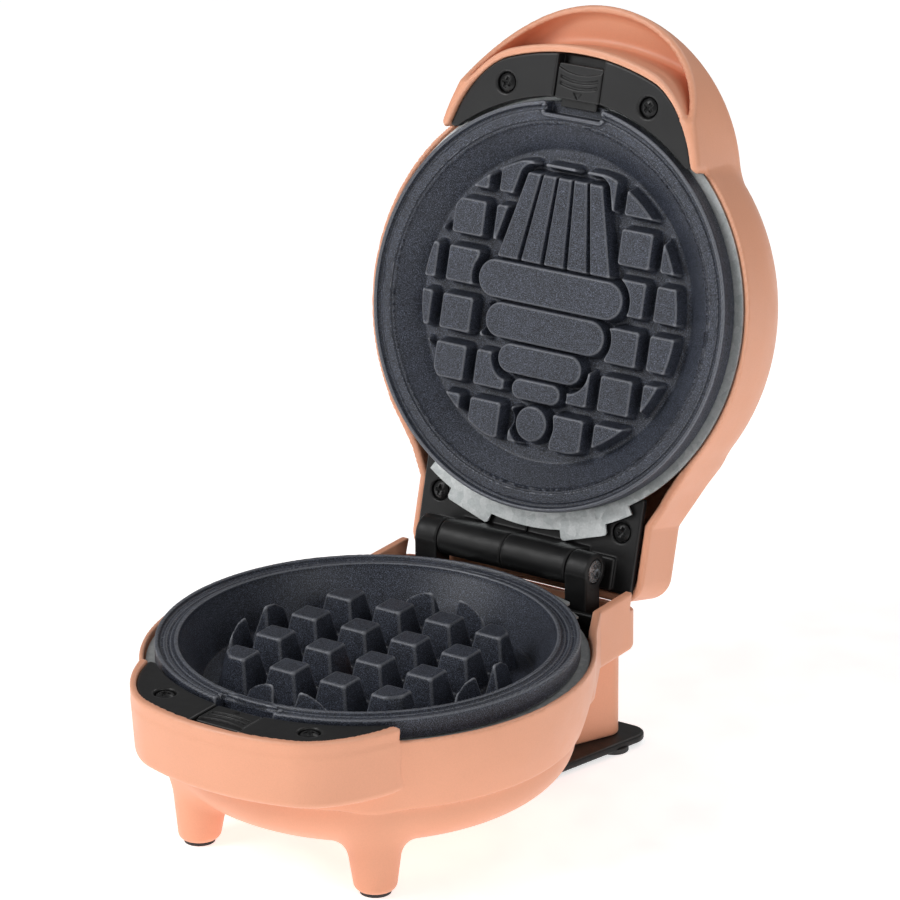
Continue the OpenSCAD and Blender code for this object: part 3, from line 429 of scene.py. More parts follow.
def handle_face(y, d=0.0):
    """Height of the handle's leaning outer face, moved in by d."""
    return -HANDLE_DROP - HANDLE_T - (y - HANDLE_FRONT) * HANDLE_LEAN + d


def lid_shell(x, y, z):
    body = LID_TABLE(np.hypot(x, y), z)
    rear = rmax(box_plan(x, y, LID_BACK), -LID_DEPTH + 9 - z, 5.0)
    rear = np.maximum(rear, 6 - y)
    body = smin(body, rear, 3.0)
    front = bumper(x, y, z, -LID_DEPTH + 14, 4.0)
    ring = np.hypot(x, y - HANDLE_Y) - HANDLE_R
    nose = rmax(ring, (handle_face(y) - z) * HANDLE_TRUE, 3.6)
    t = np.clip((y - HANDLE_START) / (HANDLE_FRONT - HANDLE_START), 0, 1)
    edge = LIP_TOP + (-HANDLE_DROP - LIP_TOP) * (1 - (1 - t) ** 1.6)
    nose = rmax(nose, (z - edge) * (0.8 + 0.16 * t), 0.7)
    nose = rmax(nose, y - TIP_Y - LIP_RUN, 2)
    rear_top = -RIM_DROP - 1.2 - 3.4 * np.clip((y - 38) / 14, 0, 1)
    solid = top_cut(y, z, body, front, rear_top)
    solid = smin(solid, nose, 2.6)
    inner = np.minimum(body, np.maximum(front, TIP_Y + LIP_RUN - y)) + WALL
    rho = np.hypot(x, y)
    hollow = np.minimum(inner, rmax(rho - SHELL_R + EDGE_T, SEAT_Z - z, 0.3))
    pocket = np.maximum(front_plan(x, y, 0.0), TRIM_FACE - TRIM_T - 6 - z)
    hollow = np.minimum(hollow, np.maximum(pocket, y - TIP_Y))
    finger = rmax(ring + HANDLE_WALL, -front_plan(x, y, LIP), 0.8)
    finger = rmax(finger, (handle_face(y, WALL + 0.4) - z) * HANDLE_TRUE, 2.6)
    finger = np.maximum(finger, y - TIP_Y + 2)
    hollow = np.minimum(hollow, finger)
    solid = rmax(solid, -hollow, 0.5)
    window = np.maximum(np.hypot(x, y - LAMP_Y) - LAMP_R, z + LID_DEPTH - 9)
    return np.maximum(solid, -window)


# ---------------------------------------------------------------- trims and catches
# black tray under the catch's slot: a dark sheet standing in for the shade inside the slot
SLOT_SHADE_TRAY_Y, SLOT_SHADE_FLOOR = -72.2, -4.9


def trim(x, y, z):
    """Black front trim: its face, a skirt round the plate's notch, a black tray under the slot that stands in for
    the shade inside it, screw bosses.
    """
    plan = rmax(front_plan(x, y, -0.25), y - TIP_Y, 1.0)
    plan = rmax(plan, R + 1.2 - np.hypot(x, y), 0.5)
    slot = rect(x, y, 0, -FRONT_R - 9, SLOT, 40.9, 0.4)
    plan = rmax(plan, -slot, 0.3)
    solid = prism(plan, z, TRIM_FACE - TRIM_T, TRIM_FACE, 0.45)
    skirt = np.maximum(np.maximum(np.hypot(x, y) - R - 2.6, R + 1.2 - np.hypot(x, y)), y - TIP_Y + 2)
    skirt = np.maximum(skirt, SLOT + 1 - np.abs(x))
    skirt = np.maximum(skirt, slab(z, SKIRT_LOW, TRIM_FACE - TRIM_T + 0.5))
    solid = np.minimum(solid, skirt)
    # painted shade: a black floor darkens the slot where the shell's inside would show
    slot_shade_tray = np.maximum(rect(x, y, 0, SLOT_SHADE_TRAY_Y, SLOT + 1.2, 2.6, 0.3), slab(z, SKIRT_LOW, TRIM_FACE - 1.0))
    slot_shade_tray = np.maximum(slot_shade_tray, -np.maximum(np.abs(x) - SLOT, SLOT_SHADE_FLOOR - z))
    solid = np.minimum(solid, slot_shade_tray)
    hole = np.hypot(np.abs(x) - SCREW_X, y - SCREW_Y)
    boss = rmax(hole - 4.4, slab(z, TRIM_FACE - TRIM_T - 0.5, TRIM_FACE - TRIM_T + 0.5), 0.2)
    solid = np.minimum(solid, boss)
    counter = np.maximum(hole - SCREW_SEAT_R - np.maximum(z - TRIM_FACE + 0.35, 0), TRIM_FACE - 1.7 - z)
    solid = np.maximum(solid, -counter)
    return np.maximum(solid, SCREW_BORE_R - hole)


CATCH_FRONT = -(FRONT_R - 3.4)
CATCH_BACK = -(R + 0.5)
CATCH_TOP = -1.3
CATCH_CUT = CATCH_TOP - 0.5                       # floor of the button's step and grooves


def catch(x, y, z):
    """Sliding catch: block, tongue and leg, with a stepped button, two curved grooves and an arrow."""
    w = SLOT - 0.35
    block = prism(rect(x, y, 0, (CATCH_FRONT + CATCH_BACK) / 2, w, (CATCH_BACK - CATCH_FRONT) / 2, 0.6),
                  z, CATCH_TOP - 3.2, CATCH_TOP, 0.45)
    tongue = prism(rect(x, y, 0, CATCH_BACK + 0.8, w - 1.5, 1.6, 0.3), z, -4.25, -3.05, 0.25)
    leg_block = prism(rect(x, y, 0, -(R + 4.6), 3.6, 1.2, 0.3), z, -14.2, CATCH_TOP - 2, 0.2)
    solid = np.minimum(np.minimum(block, tongue), leg_block)
    arc = np.hypot(x, y - CATCH_FRONT - 3 + 18) - 18
    solid = rmax(solid, -np.maximum(arc + 0.2, CATCH_CUT - z), 0.15)
    for i in (1, 2):
        groove = np.abs(arc - 1.9 * i) - 0.42
        solid = rmax(solid, -np.maximum(groove, np.maximum(CATCH_CUT - z, np.abs(x) - w + 1.3)), 0.12)
    ty = y - (CATCH_BACK - 1.7)
    arrow = np.maximum(np.abs(x) * 0.8 + ty * 0.6 - 0.75, -ty - 0.6)
    return rmax(solid, -np.maximum(arrow, CATCH_TOP - 0.35 - z), 0.1)


# ---------------------------------------------------------------- plates
BOWL_R = R * 0.885
RING_DROP = -0.9
NOTCH_HALF = 9.8
NOTCH_Y = -(R - 4.2)
LEDGE = -4.6
BASE_FLOOR, LID_FLOOR = -13.5, -6.6
MOUND_PITCH = 17.5
MOUND_TOP = -2.2


def pan_profile(floor, floor_r):
    """Section of a pan from its middle to its rim: up the inside, down the outside."""
    return [(-1, floor), (floor_r, floor), (BOWL_R, -1.6), (BOWL_R + 0.5, RING_DROP),
            (R, RING_DROP), (R, -6), (R - 1.6, -6), (R - 1.9, RING_DROP - 2),
            (BOWL_R + 1.2, RING_DROP - 2), (floor_r + 1.4, floor - 2), (-1, floor - 2)]


def pan(x, y, z, table, grooves):
    """Dished pan with an inner lip, a bead that follows the catch's notch, and the catch's shelf."""
    rho = np.hypot(x, y)
    notch = rect(x, y, 0, NOTCH_Y - 10, NOTCH_HALF, 10, 0.8)
    edge = rmax(rho - R, -notch, 0.8)
    cut = np.maximum(notch, LEDGE - z)
    solid = rmax(table(rho, z), -cut, 0.25)
    wall = rmax(np.maximum(edge, -edge - 1.5), slab(z, SKIRT_LOW, RING_DROP + 0.2), 0.2)
    wall = np.maximum(wall, rect(x, y, 0, NOTCH_Y - 3, NOTCH_HALF + 3, 7))
    bead = rmax(np.maximum(edge, -edge - 1.15), slab(z, RING_DROP - 0.6, 0), 0.4)
    lip = rmax(np.abs(rho - BOWL_R - 0.85) - 0.6, slab(z, RING_DROP - 0.6, -0.15), 0.35)
    shelf = np.maximum(rect(x, y, 0, NOTCH_Y - 1.6, NOTCH_HALF + 0.5, 3.0), rho - R + 0.1)
    solid = np.minimum(solid, rmax(shelf, slab(z, LEDGE - 1.2, LEDGE), 0.2))
    solid = smin(solid, wall, 0.3)
    solid = smin(solid, bead, 0.35)
    solid = smin(solid, lip, 0.5)
    for at, width in grooves:
        ring = np.maximum(np.abs(rho - at) - width, RING_DROP - 0.45 - z)
        solid = smax(solid, -ring, 0.25)
    return solid


def mounds(x, y, z):
    """Square mounds of the lower plate, wider at their feet and cut off round the bowl."""
    near = np.full(np.broadcast(x, y, z).shape, 1e3)
    deep = np.clip((MOUND_TOP - z) / (MOUND_TOP - BASE_FLOOR), -0.1, 1.1)
    hx, hy = 4.3 + 2.15 * deep, 4.1 + 1.95 * deep
    for i in range(-3, 3):
        for j in range(-3, 3):
            cx, cy = (i + 0.5) * MOUND_PITCH, (j + 0.5) * MOUND_PITCH
            if abs(i + 0.5) + abs(j + 0.5) < 3.5:
                near = np.minimum(near, rect(x, y, cx, cy, hx, hy, 1.0))
    near = rmax(near * 0.98, z - MOUND_TOP, 0.7)
    near = np.maximum(near, BASE_FLOOR - 1 - z)
    return rmax(near, (np.hypot(x, y) - R * 0.665 - 3.0 * deep) * 0.97, 0.6)


BASE_PAN = Table(pan_profile(BASE_FLOOR, R * 0.78), 6, 0.2)
LID_PAN = Table(pan_profile(LID_FLOOR, R * 0.765), 6, 0.2)


def base_plate(x, y, z):
    solid = pan(x, y, z, BASE_PAN, [(R * 0.935, 0.35), (R * 0.965, 0.3)])
    return smin(solid, mounds(x, y, z), 1.2)


FIELD = R * 0.725
BLOCK = 14.6
BLOCK_TOP = -1.2
HALO = 1.8
GROOVE = 1.1
ICING = [(w * FIELD, a * FIELD, b * FIELD)
         for w, a, b in ((0.58, -0.26, 0.02), (0.48, 0.02, 0.28), (0.34, 0.28, 0.5), (0.2, 0.5, 0.66))]
CUP_TOP, CUP_LOW, CUP_WIDE, CUP_NARROW = ICING[0][1], -0.88 * FIELD, 0.46 * FIELD, 0.3 * FIELD


def cake(x, y, gap):
    """Outline of the cupcake motif, each part shrunk by gap; also the motif's whole outline."""
    parts = np.full(np.broadcast(x, y).shape, 1e3)
    for w, a, b in ICING:
        layer = rect(x, y, 0, (a + b) / 2, w, (b - a) / 2, (b - a) / 2 - 0.05)
        parts = np.minimum(parts, layer + gap)
    slope = (CUP_WIDE - CUP_NARROW) / (CUP_TOP - CUP_LOW)
    side = (np.abs(x) - CUP_NARROW - (y - CUP_LOW) * slope) / math.hypot(1, slope)
    cup = rmax(side, slab(y, CUP_LOW, CUP_TOP), 1.2)
    t = x / (CUP_NARROW + np.clip(y - CUP_LOW, 0, 99) * slope)
    pleat = np.full(parts.shape, 1e3)
    if gap > 0:
        for i in range(1, 5):
            pleat = np.minimum(pleat, np.abs(t + 1 - 0.4 * i) * CUP_NARROW - GROOVE * 0.5)
        cup = rmax(cup + gap, -pleat, 0.3) - gap
    parts = np.minimum(parts, cup + gap)
    return np.minimum(parts, np.hypot(x, y - 0.8 * FIELD) - 0.13 * FIELD + gap)


def relief(x, y, z):
    """Motif and square blocks of the upper plate."""
    draft = 0.16 * (BLOCK_TOP - z)
    cell_x = (x / BLOCK - 0.85 + 0.5) % 1.0 - 0.5
    cell_y = (y / BLOCK + 1.0) % 1.0 - 0.5
    blocks = rect(cell_x * BLOCK, cell_y * BLOCK, 0, 0, BLOCK / 2 - 2.0, BLOCK / 2 - 2.0, 1.0)
    blocks = rmax(blocks, np.hypot(x, y) - FIELD, 0.6)
    blocks = rmax(blocks, -(cake(x, y, 0) - HALO - 0.3), 0.6)
    plan = np.minimum(blocks, cake(x, y, GROOVE / 2)) - draft
    return rmax(plan * 0.98, slab(z, LID_FLOOR - 1, BLOCK_TOP), 0.55)


def lid_plate(x, y, z):
    solid = pan(x, y, z, LID_PAN, [(R * 0.9, 0.5), (R * 0.966, 0.6)])
    return smin(solid, relief(x, y, z), 0.9)


# ---------------------------------------------------------------- hinge and foot
BARREL_R, BARREL_HALF, EAR_IN = 5.5, 30.5, 22.9


def ring_x(y, z, r):
    """Cylinder of radius r round the hinge's axis."""
    return np.hypot(y - HINGE_Y, z - AXIS) - r


def base_hinge(x, y, z):
    """The base's bracket: an ear at each side with its web, a plate and a low wall before them."""
    ax = np.abs(x)
    floor = AXIS - 13
    ear = rmax(ring_x(y, z, BARREL_R), slab(ax, EAR_IN, BARREL_HALF), 0.7)
    under = rect(ax, y, (EAR_IN + BARREL_HALF) / 2, HINGE_Y - 1.55, 3.8, 3.95, 0.5)
    web = prism(under, z, floor - 0.5, AXIS, 0.3)
    solid = smin(ear, web, 0.4)
    plate = prism(rect(x, y, 0, HINGE_Y - 4.5, 38.3, 9.0, 1.5), z, floor - 2.2, floor, 0.4)
    wall = prism(rect(x, y, 0, HINGE_Y - 12.7, 38.3, 0.8, 0.3), z, floor - 0.5, floor + 5.2, 0.4)
    solid = smin(smin(solid, plate, 1.0), wall, 0.8)
    solid = np.maximum(solid, -np.maximum(ring_x(y, z, 3.6), BARREL_HALF - 1.9 - ax))
    return np.maximum(solid, -np.maximum(ring_x(y, z, PIVOT_R), EAR_IN - 1 - ax))


def lid_hinge(x, y, z):
    """The lid's bracket: middle knuckles with a seam between them, plate, shoulder and screw seats."""
    k = EAR_IN - 0.3
    face, plate_front, plate_back = HINGE_FACE, R * 0.84, LID_BACK - WALL - 0.5
    seam = np.maximum(np.abs(x) - 0.28, -ring_x(y, z, BARREL_R - 0.6))
    barrel = rmax(ring_x(y, z, BARREL_R), np.abs(x) - k, 0.6)
    web = prism(rect(x, y, 0, HINGE_Y, k, BARREL_R - 0.2, 0.5), z, face - 0.5, AXIS, 0.3)
    plate = rect(x, y, 0, (plate_front + plate_back) / 2, 38.4, (plate_back - plate_front) / 2, 0.8)
    plate = prism(plate, z, face - 2.2, face, 0.3)
    plate = rmax(plate, 58.2 - np.hypot(x, y), 0.3)
    shoulder = rect(x, y, 0, HINGE_Y + 1.0, BARREL_HALF + 1.5, BARREL_R - 0.6, 0.8)
    shoulder = prism(shoulder, z, face - 0.5, face + 1.3, 0.4)
    solid = smin(smin(barrel, web, 0.4), smin(plate, shoulder, 0.5), 0.8)
    solid = rmax(solid, -seam, 0.25)
    spot = np.hypot(np.abs(x) - HINGE_SCREW_X, y - HINGE_SCREW_Y)
    solid = rmax(solid, -np.maximum(spot - SCREW_SEAT_R, HINGE_SEAT - z), 0.3)
    solid = np.maximum(solid, SCREW_BORE_R - spot)
    return np.maximum(solid, -np.maximum(ring_x(y, z, PIVOT_R), 6 - np.abs(x)))


def foot(x, y, z):
    """Foot plate under the column, wider at the back."""
    front, back = COLUMN_FRONT - 12.5, BACK_Y + 5.2
    slope = 13.6 / (back - front)
    side = (np.abs(x) - 28.8 - (y - front) * slope) / math.hypot(1, slope)
    plan = rmax(side, slab(y, front, back), 7)
    return prism(plan, z, FOOT_TOP - 2.4, FOOT_TOP, 0.7)


def screw_head(x, y, z, r, h):
    """Domed head with a cross recess, its seat at z = 0."""
    dome = np.hypot(np.hypot(x, y), (z + r * 1.1)) - math.hypot(r * 0.72, h + r * 1.1)
    head = rmax(np.maximum(np.hypot(x, y) - r, dome), -z - 0.2, 0.2)
    arm = 0.62 * r
    width = 0.17 * r + 0.1 * np.clip(z / h, 0, 1)
    cross = np.minimum(rect(x, y, 0, 0, arm, width, 0.08), rect(x, y, 0, 0, width, arm, 0.08))
    return rmax(head, -np.maximum(cross, h * 0.25 - z + 0.5 * np.hypot(x, y)), 0.1)


def screws(name, spots, place, body, replaces, flip, turn):
    """Copies of one screw head at the given seats, each with its cross turned its own way."""
    side = HEAD_R + 0.5
    head, quads, _ = net(lambda x, y, z: screw_head(x, y, z, HEAD_R, HEAD_H),
                         (-side, -side, -0.5), (side, side, HEAD_H + 0.5), 0.12 * FINE)
    points, faces = [], []
    for i, (sx, sy, sz) in enumerate(spots):
        a = turn + 1.9 * i
        turned = np.stack([head[:, 0] * math.cos(a) - head[:, 1] * math.sin(a) + sx,
                           head[:, 0] * math.sin(a) + head[:, 1] * math.cos(a) + sy, head[:, 2] + sz], 1)
        faces.append(quads + len(head) * i)
        points.append(turned)
    faces = np.concatenate(faces)
    if flip:
        faces = faces[:, ::-1]
    mesh(name, place(np.concatenate(points)), faces, body, screw_mat, replaces)


# ---------------------------------------------------------------- materials
class Nodes:
    """One material's node tree and the few steps that all materials here are made of."""

    def __init__(self, name):
        self.mat = bpy.data.materials.new(name)
        self.mat.use_nodes = True
        self.tree = self.mat.node_tree
        self.shader = self.tree.nodes["Principled BSDF"]
        self.coords = self.new("ShaderNodeTexCoord").outputs["Object"]

    def new(self, kind, **props):
        node = self.tree.nodes.new(kind)
        for key, value in props.items():
            setattr(node, key, value)
        return node

    def link(self, a, b):
        self.tree.links.new(a, b)

    def noise(self, scale, detail=3.0, rough=0.5, stretch=None):
        node = self.new("ShaderNodeTexNoise")
        node.inputs["Scale"].default_value = scale
        node.inputs["Detail"].default_value = detail
        node.inputs["Roughness"].default_value = rough
        source = self.coords
        if stretch:
            mapping = self.new("ShaderNodeMapping")
            mapping.inputs["Scale"].default_value = stretch
            self.link(source, mapping.inputs["Vector"])
            source = mapping.outputs["Vector"]
        self.link(source, node.inputs["Vector"])
        return node.outputs["Fac"]

    def edge(self):
        return self.new("ShaderNodeAttribute", attribute_name="edge").outputs["Fac"]

    def cells(self, scale):
        node = self.new("ShaderNodeTexVoronoi")
        node.inputs["Scale"].default_value = scale
        self.link(self.coords, node.inputs["Vector"])
        return node

    def ramp(self, fac, stops):
        node = self.new("ShaderNodeValToRGB")
        band = node.color_ramp.elements
        while len(band) < len(stops):
            band.new(0.5)
        for element, (at, colour) in zip(band, stops):
            element.position = at
            element.color = (*colour, 1)
        self.link(fac, node.inputs["Fac"])
        return node.outputs["Color"]

    def mix(self, fac, a, b, kind="MIX"):
        node = self.new("ShaderNodeMix", data_type="RGBA", blend_type=kind)
        for socket, value in ((node.inputs[0], fac), (node.inputs[6], a), (node.inputs[7], b)):
            if isinstance(value, bpy.types.NodeSocket):
                self.link(value, socket)
            elif isinstance(value, (int, float)):
                socket.default_value = value
            else:
                socket.default_value = (*value, 1)
        return node.outputs[2]

    def span(self, value, lo, hi, from_lo=0.3, from_hi=0.7):
        node = self.new("ShaderNodeMapRange")
        node.inputs["From Min"].default_value = from_lo
        node.inputs["From Max"].default_value = from_hi
        node.inputs["To Min"].default_value = lo
        node.inputs["To Max"].default_value = hi
        self.link(value, node.inputs["Value"])
        return node.outputs["Result"]

    def bump(self, height, distance, strength=1.0, under=None):
        node = self.new("ShaderNodeBump")
        node.inputs["Distance"].default_value = distance
        node.inputs["Strength"].default_value = strength
        self.link(height, node.inputs["Height"])
        if under:
            self.link(under, node.inputs["Normal"])
        return node.outputs["Normal"]

    def finish(self, colour, rough, normal, metallic=0.0, **fixed):
        self.link(colour, self.shader.inputs["Base Color"])
        self.link(rough, self.shader.inputs["Roughness"])
        self.link(normal, self.shader.inputs["Normal"])
        self.shader.inputs["Metallic"].default_value = metallic
        for key, value in fixed.items():
            self.shader.inputs[key.replace("_", " ")].default_value = value
        return self.mat


def shade(colour, k):
    """The colour made k times as bright."""
    return tuple(min(1.0, c * k) for c in colour)


def shell_material():
    n = Nodes("shell_salmon")
    base = (0.83, 0.385, 0.235)
    cloud = n.ramp(n.noise(35, 3), [(0.35, shade(base, 0.97)), (0.65, shade(base, 1.02))])
    fleck = n.ramp(n.noise(2600, 2), [(0.3, (0.96,) * 3), (0.62, (1.0,) * 3)])
    colour = n.mix(1.0, cloud, fleck, "MULTIPLY")
    # painted highlight: convex edges made lighter; painted shade: concave creases made darker
    edge_light_crease_shade = n.mix(n.span(n.edge(), 0.0, 0.45, 0.05, 0.3), colour, (0.95, 0.56, 0.40))
    edge_light_crease_shade = n.mix(n.span(n.edge(), 0.5, 0.0, -0.3, -0.04), edge_light_crease_shade, (0.62, 0.24, 0.15))
    rough = n.span(n.noise(160, 4), 0.36, 0.47)
    peel = n.bump(n.noise(700, 2), 0.00006, 0.35)
    grain = n.bump(n.noise(5200, 2), 0.00003, 0.4, peel)
    return n.finish(edge_light_crease_shade, rough, grain, Specular_IOR_Level=0.45)


def black_material(name, level, rough, grain):
    n = Nodes(name)
    base = (level, level, level * 1.04)
    cloud = n.ramp(n.noise(60, 4), [(0.35, shade(base, 0.85)), (0.7, shade(base, 1.25))])
    dust = n.ramp(n.noise(3200, 2), [(0.66, (1.0,) * 3), (0.78, (1.9,) * 3)])
    colour = n.mix(1.0, cloud, dust, "MULTIPLY")
    # painted highlight: convex edges made lighter
    colour = n.mix(n.span(n.edge(), 0.0, 0.6, 0.06, 0.3), colour, (level * 3 + 0.03,) * 3)
    gloss = n.span(n.noise(240, 4), rough - 0.05, rough + 0.09)
    fine = n.bump(n.noise(2600, 3), 0.00005, grain)
    streak = n.bump(n.noise(700, 3, stretch=(0.15, 1.0, 1.0)), 0.00003, 0.3, fine)
    return n.finish(colour, gloss, streak, Specular_IOR_Level=0.3)


def coating_material():
    n = Nodes("nonstick_coating")
    base = (0.0145, 0.0162, 0.0212)
    cloud = n.ramp(n.noise(45, 3), [(0.3, shade(base, 0.85)), (0.7, shade(base, 1.15))])
    stops = [(0.40, (0.5,) * 3), (0.52, (1.4, 1.4, 1.45)), (0.65, (10.5, 10.8, 11.4))]
    speck = n.ramp(n.noise(4600, 2, 0.75), stops)
    colour = n.mix(1.0, cloud, speck, "MULTIPLY")
    # painted highlight: convex edges made much lighter; painted shade: concave creases made darker
    colour = n.mix(n.span(n.edge(), 0.0, 0.75, 0.07, 0.32), colour, (0.30, 0.31, 0.34))
    colour = n.mix(n.span(n.edge(), 0.8, 0.0, -0.3, -0.05), colour, (0.006, 0.007, 0.010))
    fleck = n.span(n.noise(3600, 2, 0.7), 0.52, 0.30, 0.4, 0.7)
    sand = n.bump(n.noise(2300, 3, 0.6), 0.0001, 0.5)
    soft = n.bump(n.noise(420, 2), 0.00008, 0.35, sand)
    return n.finish(colour, fleck, soft, 0.1, Specular_IOR_Level=0.42)


def galvanised_material():
    n = Nodes("galvanised_sheet")
    cells = n.cells(420)
    spangle = n.ramp(cells.outputs["Color"], [(0.2, (0.50, 0.53, 0.53)), (0.8, (0.62, 0.64, 0.64))])
    dull = n.ramp(n.noise(1500, 3), [(0.3, (0.85,) * 3), (0.7, (1.0,) * 3)])
    colour = n.mix(1.0, spangle, dull, "MULTIPLY")
    rough = n.span(n.noise(500, 3), 0.42, 0.58)
    normal = n.bump(n.noise(900, 3), 0.00006, 0.3)
    return n.finish(colour, rough, normal, 0.6)


def plain_material(name, base, rough, metallic=0.0, scale=900, depth=0.00004, vary=0.12, **fixed):
    """Colour that drifts, with fine wear in its gloss and surface."""
    n = Nodes(name)
    cloud = n.ramp(n.noise(scale * 0.12, 4), [(0.3, shade(base, 1 - vary)), (0.7, shade(base, 1 + vary))])
    wear = n.ramp(n.noise(scale * 2.5, 2), [(0.35, (0.88,) * 3), (0.6, (1.0,) * 3)])
    colour = n.mix(1.0, cloud, wear, "MULTIPLY")
    gloss = n.span(n.noise(scale * 0.5, 4), max(0.04, rough - 0.06), rough + 0.08)
    return n.finish(colour, gloss, n.bump(n.noise(scale, 3), depth, 0.5), metallic, **fixed)


shell_mat = shell_material()
trim_mat = black_material("trim_satin_black", 0.010, 0.36, 0.35)
hinge_mat = black_material("hinge_grained_black", 0.008, 0.42, 0.8)
foot_mat = black_material("foot_matte_black", 0.007, 0.42, 0.5)
screw_mat = black_material("screw_black_oxide", 0.012, 0.3, 0.6)
coat_mat = coating_material()
zinc_mat = galvanised_material()
MATERIALS = {
    "heater_steel": plain_material("heat_tinted_steel", (0.34, 0.31, 0.28), 0.4, 0.9),
    "pivot_steel": plain_material("bright_nickel", (0.72, 0.74, 0.76), 0.24, 1.0, 1400),
    "zinc_steel": plain_material("zinc_plate", (0.6, 0.61, 0.63), 0.36, 0.95, 1200),
    "ceramic": plain_material("glazed_ceramic", (0.85, 0.82, 0.73), 0.2),
    "white_insulator": plain_material("white_insulator", (0.82, 0.82, 0.8), 0.34),
    "brass_parts": plain_material("plain_brass", (0.74, 0.54, 0.24), 0.3, 1.0),
    "wire_sleeve": plain_material("silicone_sleeve", (0.62, 0.28, 0.22), 0.55),
    "pad_rubber": plain_material("pad_rubber", (0.04, 0.04, 0.042), 0.75, 0.0, 1500, 0.0001),
    "lens": plain_material("red_lens", (0.62, 0.05, 0.03), 0.12, 0.0, 400, 0.00001, 0.06,
                           Transmission_Weight=0.3),
    "bulb": plain_material("glow_lamp_glass", (0.95, 0.72, 0.5), 0.08, 0.0, 400, 0.00001, 0.06,
                           Transmission_Weight=0.6),
    "shell_plastic": shell_mat, "trim_plastic": trim_mat, "hinge_plastic": hinge_mat,
    "foot_plastic": foot_mat, "black_screws": screw_mat, "nonstick_coating": coat_mat,
    "galvanised_sheet": zinc_mat,
}
for part in frame["record"]["subparts"]:
    node = frame["nodes"][part["node"]]
    node.data.materials.clear()
    node.data.materials.append(MATERIALS[part["material_slot"]])


# ---------------------------------------------------------------- the visible pieces
FINE = 1.0
SIDE = SHELL_R + 8
carve("base_shell_skin", base_shell, (-SIDE, -FRONT_R - 5, -RIM + 0.3), (SIDE, BACK_Y + 2, 2), 0.68 * FINE,
      base_place, "root", shell_mat, ["base_shell"])
carve("lid_shell_skin", lid_shell, (-SIDE, -95, -LID_DEPTH - 2), (SIDE, LID_BACK + 2, 2), 0.75 * FINE,
      lid_place, "lid", shell_mat, ["lid_shell"], flip=True)
for half, place, flip in (("base", base_place, False), ("lid", lid_place, True)):
    body = "root" if half == "base" else "lid"
    carve(half + "_trim_skin", trim, (-50, -FRONT_R - 1, -7), (50, TIP_Y + 2, 0.2), 0.42 * FINE,
          place, body, trim_mat, [half + "_trim"], flip)
    carve(half + "_catch_skin", catch, (-9, CATCH_FRONT - 1, -15.5), (9, CATCH_BACK + 4, 0), 0.25 * FINE,
          place, half + "_catch", trim_mat, [half + "_catch"], flip)
carve("base_plate_skin", base_plate, (-R - 1, -R - 1, -17), (R + 1, R + 1, 0.7), 0.5 * FINE,
      base_place, "root", coat_mat, ["base_plate"])
carve("lid_plate_skin", lid_plate, (-R - 1, -R - 1, -10), (R + 1, R + 1, 0.7), 0.42 * FINE,
      lid_place, "lid", coat_mat, ["lid_plate"], flip=True)
carve("base_hinge_skin", base_hinge, (-41, HINGE_Y - 15, AXIS - 17), (41, HINGE_Y + 7, 7.5), 0.45 * FINE,
      base_place, "root", hinge_mat, ["base_hinge_bracket"])
carve("lid_hinge_skin", lid_hinge, (-40, R * 0.8, -12), (40, LID_BACK + 1, 7.5), 0.45 * FINE,
      lid_place, "lid", hinge_mat, ["lid_hinge_bracket"], flip=True)
carve("foot_plate_skin", foot, (-48, R - 30, 0), (48, BACK_Y + 9, 5), 0.5 * FINE,
      as_is, "root", foot_mat, ["foot_plate"])

TRIM_SPOTS = [(s * SCREW_X, SCREW_Y, TRIM_FACE - 1.65) for s in (-1, 1)]
HINGE_SPOTS = [(s * HINGE_SCREW_X, HINGE_SCREW_Y, HINGE_SEAT) for s in (-1, 1)]
screws("base_trim_screw_heads", TRIM_SPOTS, base_place, "root", ["base_trim_screws"], False, 0.3)
screws("lid_trim_screw_heads", TRIM_SPOTS, lid_place, "lid", ["lid_trim_screws"], True, 0.35)
screws("lid_hinge_screw_heads", HINGE_SPOTS, lid_place, "lid", ["lid_hinge_screws"], True, 0.1)


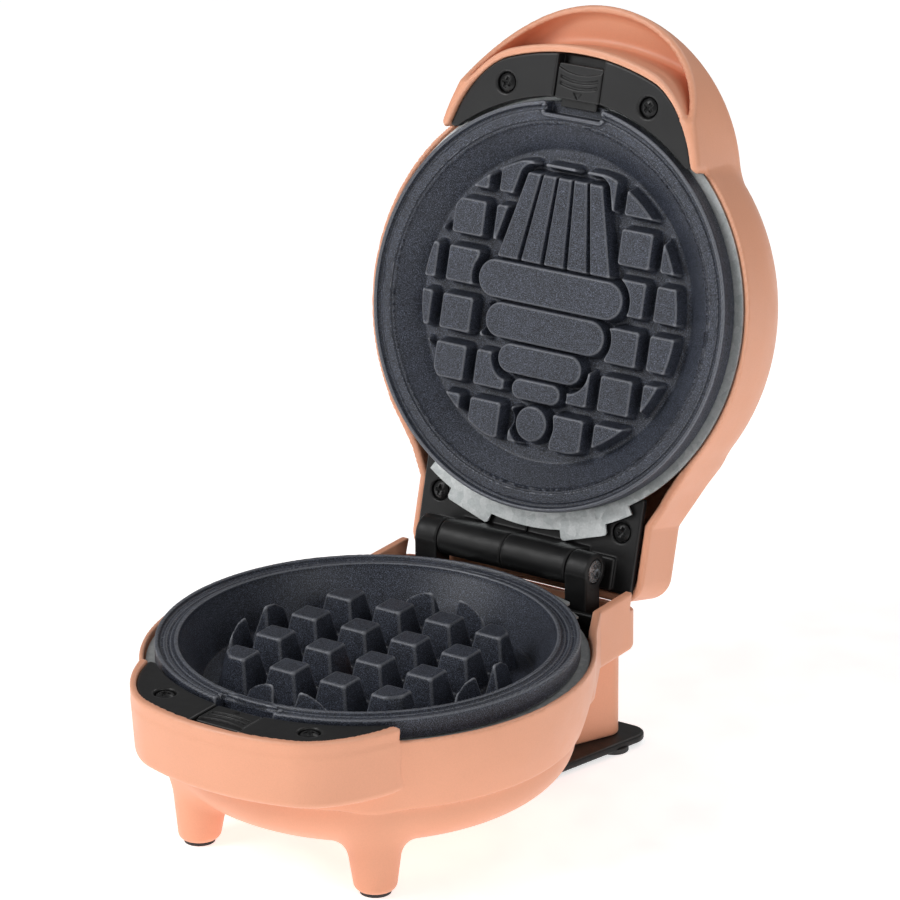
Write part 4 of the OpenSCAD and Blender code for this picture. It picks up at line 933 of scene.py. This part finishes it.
# ---------------------------------------------------------------- camera, light and floor
def camera():
    """The photograph's view, found from the plates' ellipses and the parallel edges."""
    azimuth, elevation, roll = (math.radians(v) for v in (34.075, 20.764, -0.475))
    distance, aside, above = 22.327, 0.386, 0.862
    back = Vector((math.sin(azimuth) * math.cos(elevation), -math.cos(azimuth) * math.cos(elevation),
                   math.sin(elevation)))
    right = Vector((math.cos(azimuth), math.sin(azimuth), 0))
    up = back.cross(right)
    turned_right = math.cos(roll) * right + math.sin(roll) * up
    turned_up = math.cos(roll) * up - math.sin(roll) * right
    data = bpy.data.cameras.new("camera")
    data.sensor_width = 36
    data.lens = 190.33
    data.clip_start, data.clip_end = 0.05, 30
    cam = bpy.data.objects.new("camera", data)
    bpy.context.scene.collection.objects.link(cam)
    origin = Vector((0, 0, RIM / MM))
    cam.location = (back * distance + turned_right * aside + turned_up * above) * (R / MM) + origin
    cam.rotation_mode = "QUATERNION"
    basis = Matrix((turned_right, turned_up, back)).transposed()
    cam.rotation_quaternion = basis.to_quaternion()
    bpy.context.scene.camera = cam


def area(name, at, aim, size, power):
    """A white rectangular light at one point, facing another."""
    data = bpy.data.lights.new(name, "AREA")
    data.shape = "RECTANGLE"
    data.size, data.size_y = size
    data.energy = power
    light = bpy.data.objects.new(name, data)
    bpy.context.scene.collection.objects.link(light)
    light.location = at
    light.rotation_mode = "QUATERNION"
    light.rotation_quaternion = (Vector(aim) - Vector(at)).to_track_quat("-Z", "Y")


def floor():
    """Pale floor that lifts its own shadows a little, as a product photograph's does."""
    side, count = 6.0, 24
    ticks = np.linspace(-side, side, count + 1)
    points = [(a, b, 0.0) for a in ticks for b in ticks]
    row = count + 1
    corners = [i * row + j for i in range(count) for j in range(count)]
    faces = [(a, a + row, a + row + 1, a + 1) for a in corners]
    data = bpy.data.meshes.new("floor")
    data.from_pydata(points, [], faces)
    data.materials.append(plain_material("pale_floor", (0.88, 0.88, 0.88), 0.6, 0.0, 20, 0.0001, 0.01,
                                         Emission_Color=(1, 1, 1, 1), Emission_Strength=0.64))
    obj = bpy.data.objects.new("floor", data)
    bpy.context.scene.collection.objects.link(obj)


camera()
floor()
area("key", (-0.60, -0.80, 0.95), (0, 0.02, 0.09), (0.6, 0.6), 9.2)
area("front", (-0.75, -1.2, 0.28), (0, 0.08, 0.13), (0.6, 0.45), 1.9)
area("fill", (1.05, -0.45, 0.55), (0, 0.02, 0.09), (0.6, 0.7), 2.9)
area("back", (0.1, 1.0, 1.0), (0, 0.02, 0.1), (0.8, 0.5), 3.5)
world = bpy.data.worlds.new("studio")
world.use_nodes = True
world.node_tree.nodes["Background"].inputs["Color"].default_value = (1, 1, 1, 1)
world.node_tree.nodes["Background"].inputs["Strength"].default_value = 0.2
bpy.context.scene.world = world
bpy.context.scene.view_settings.view_transform = "Standard"
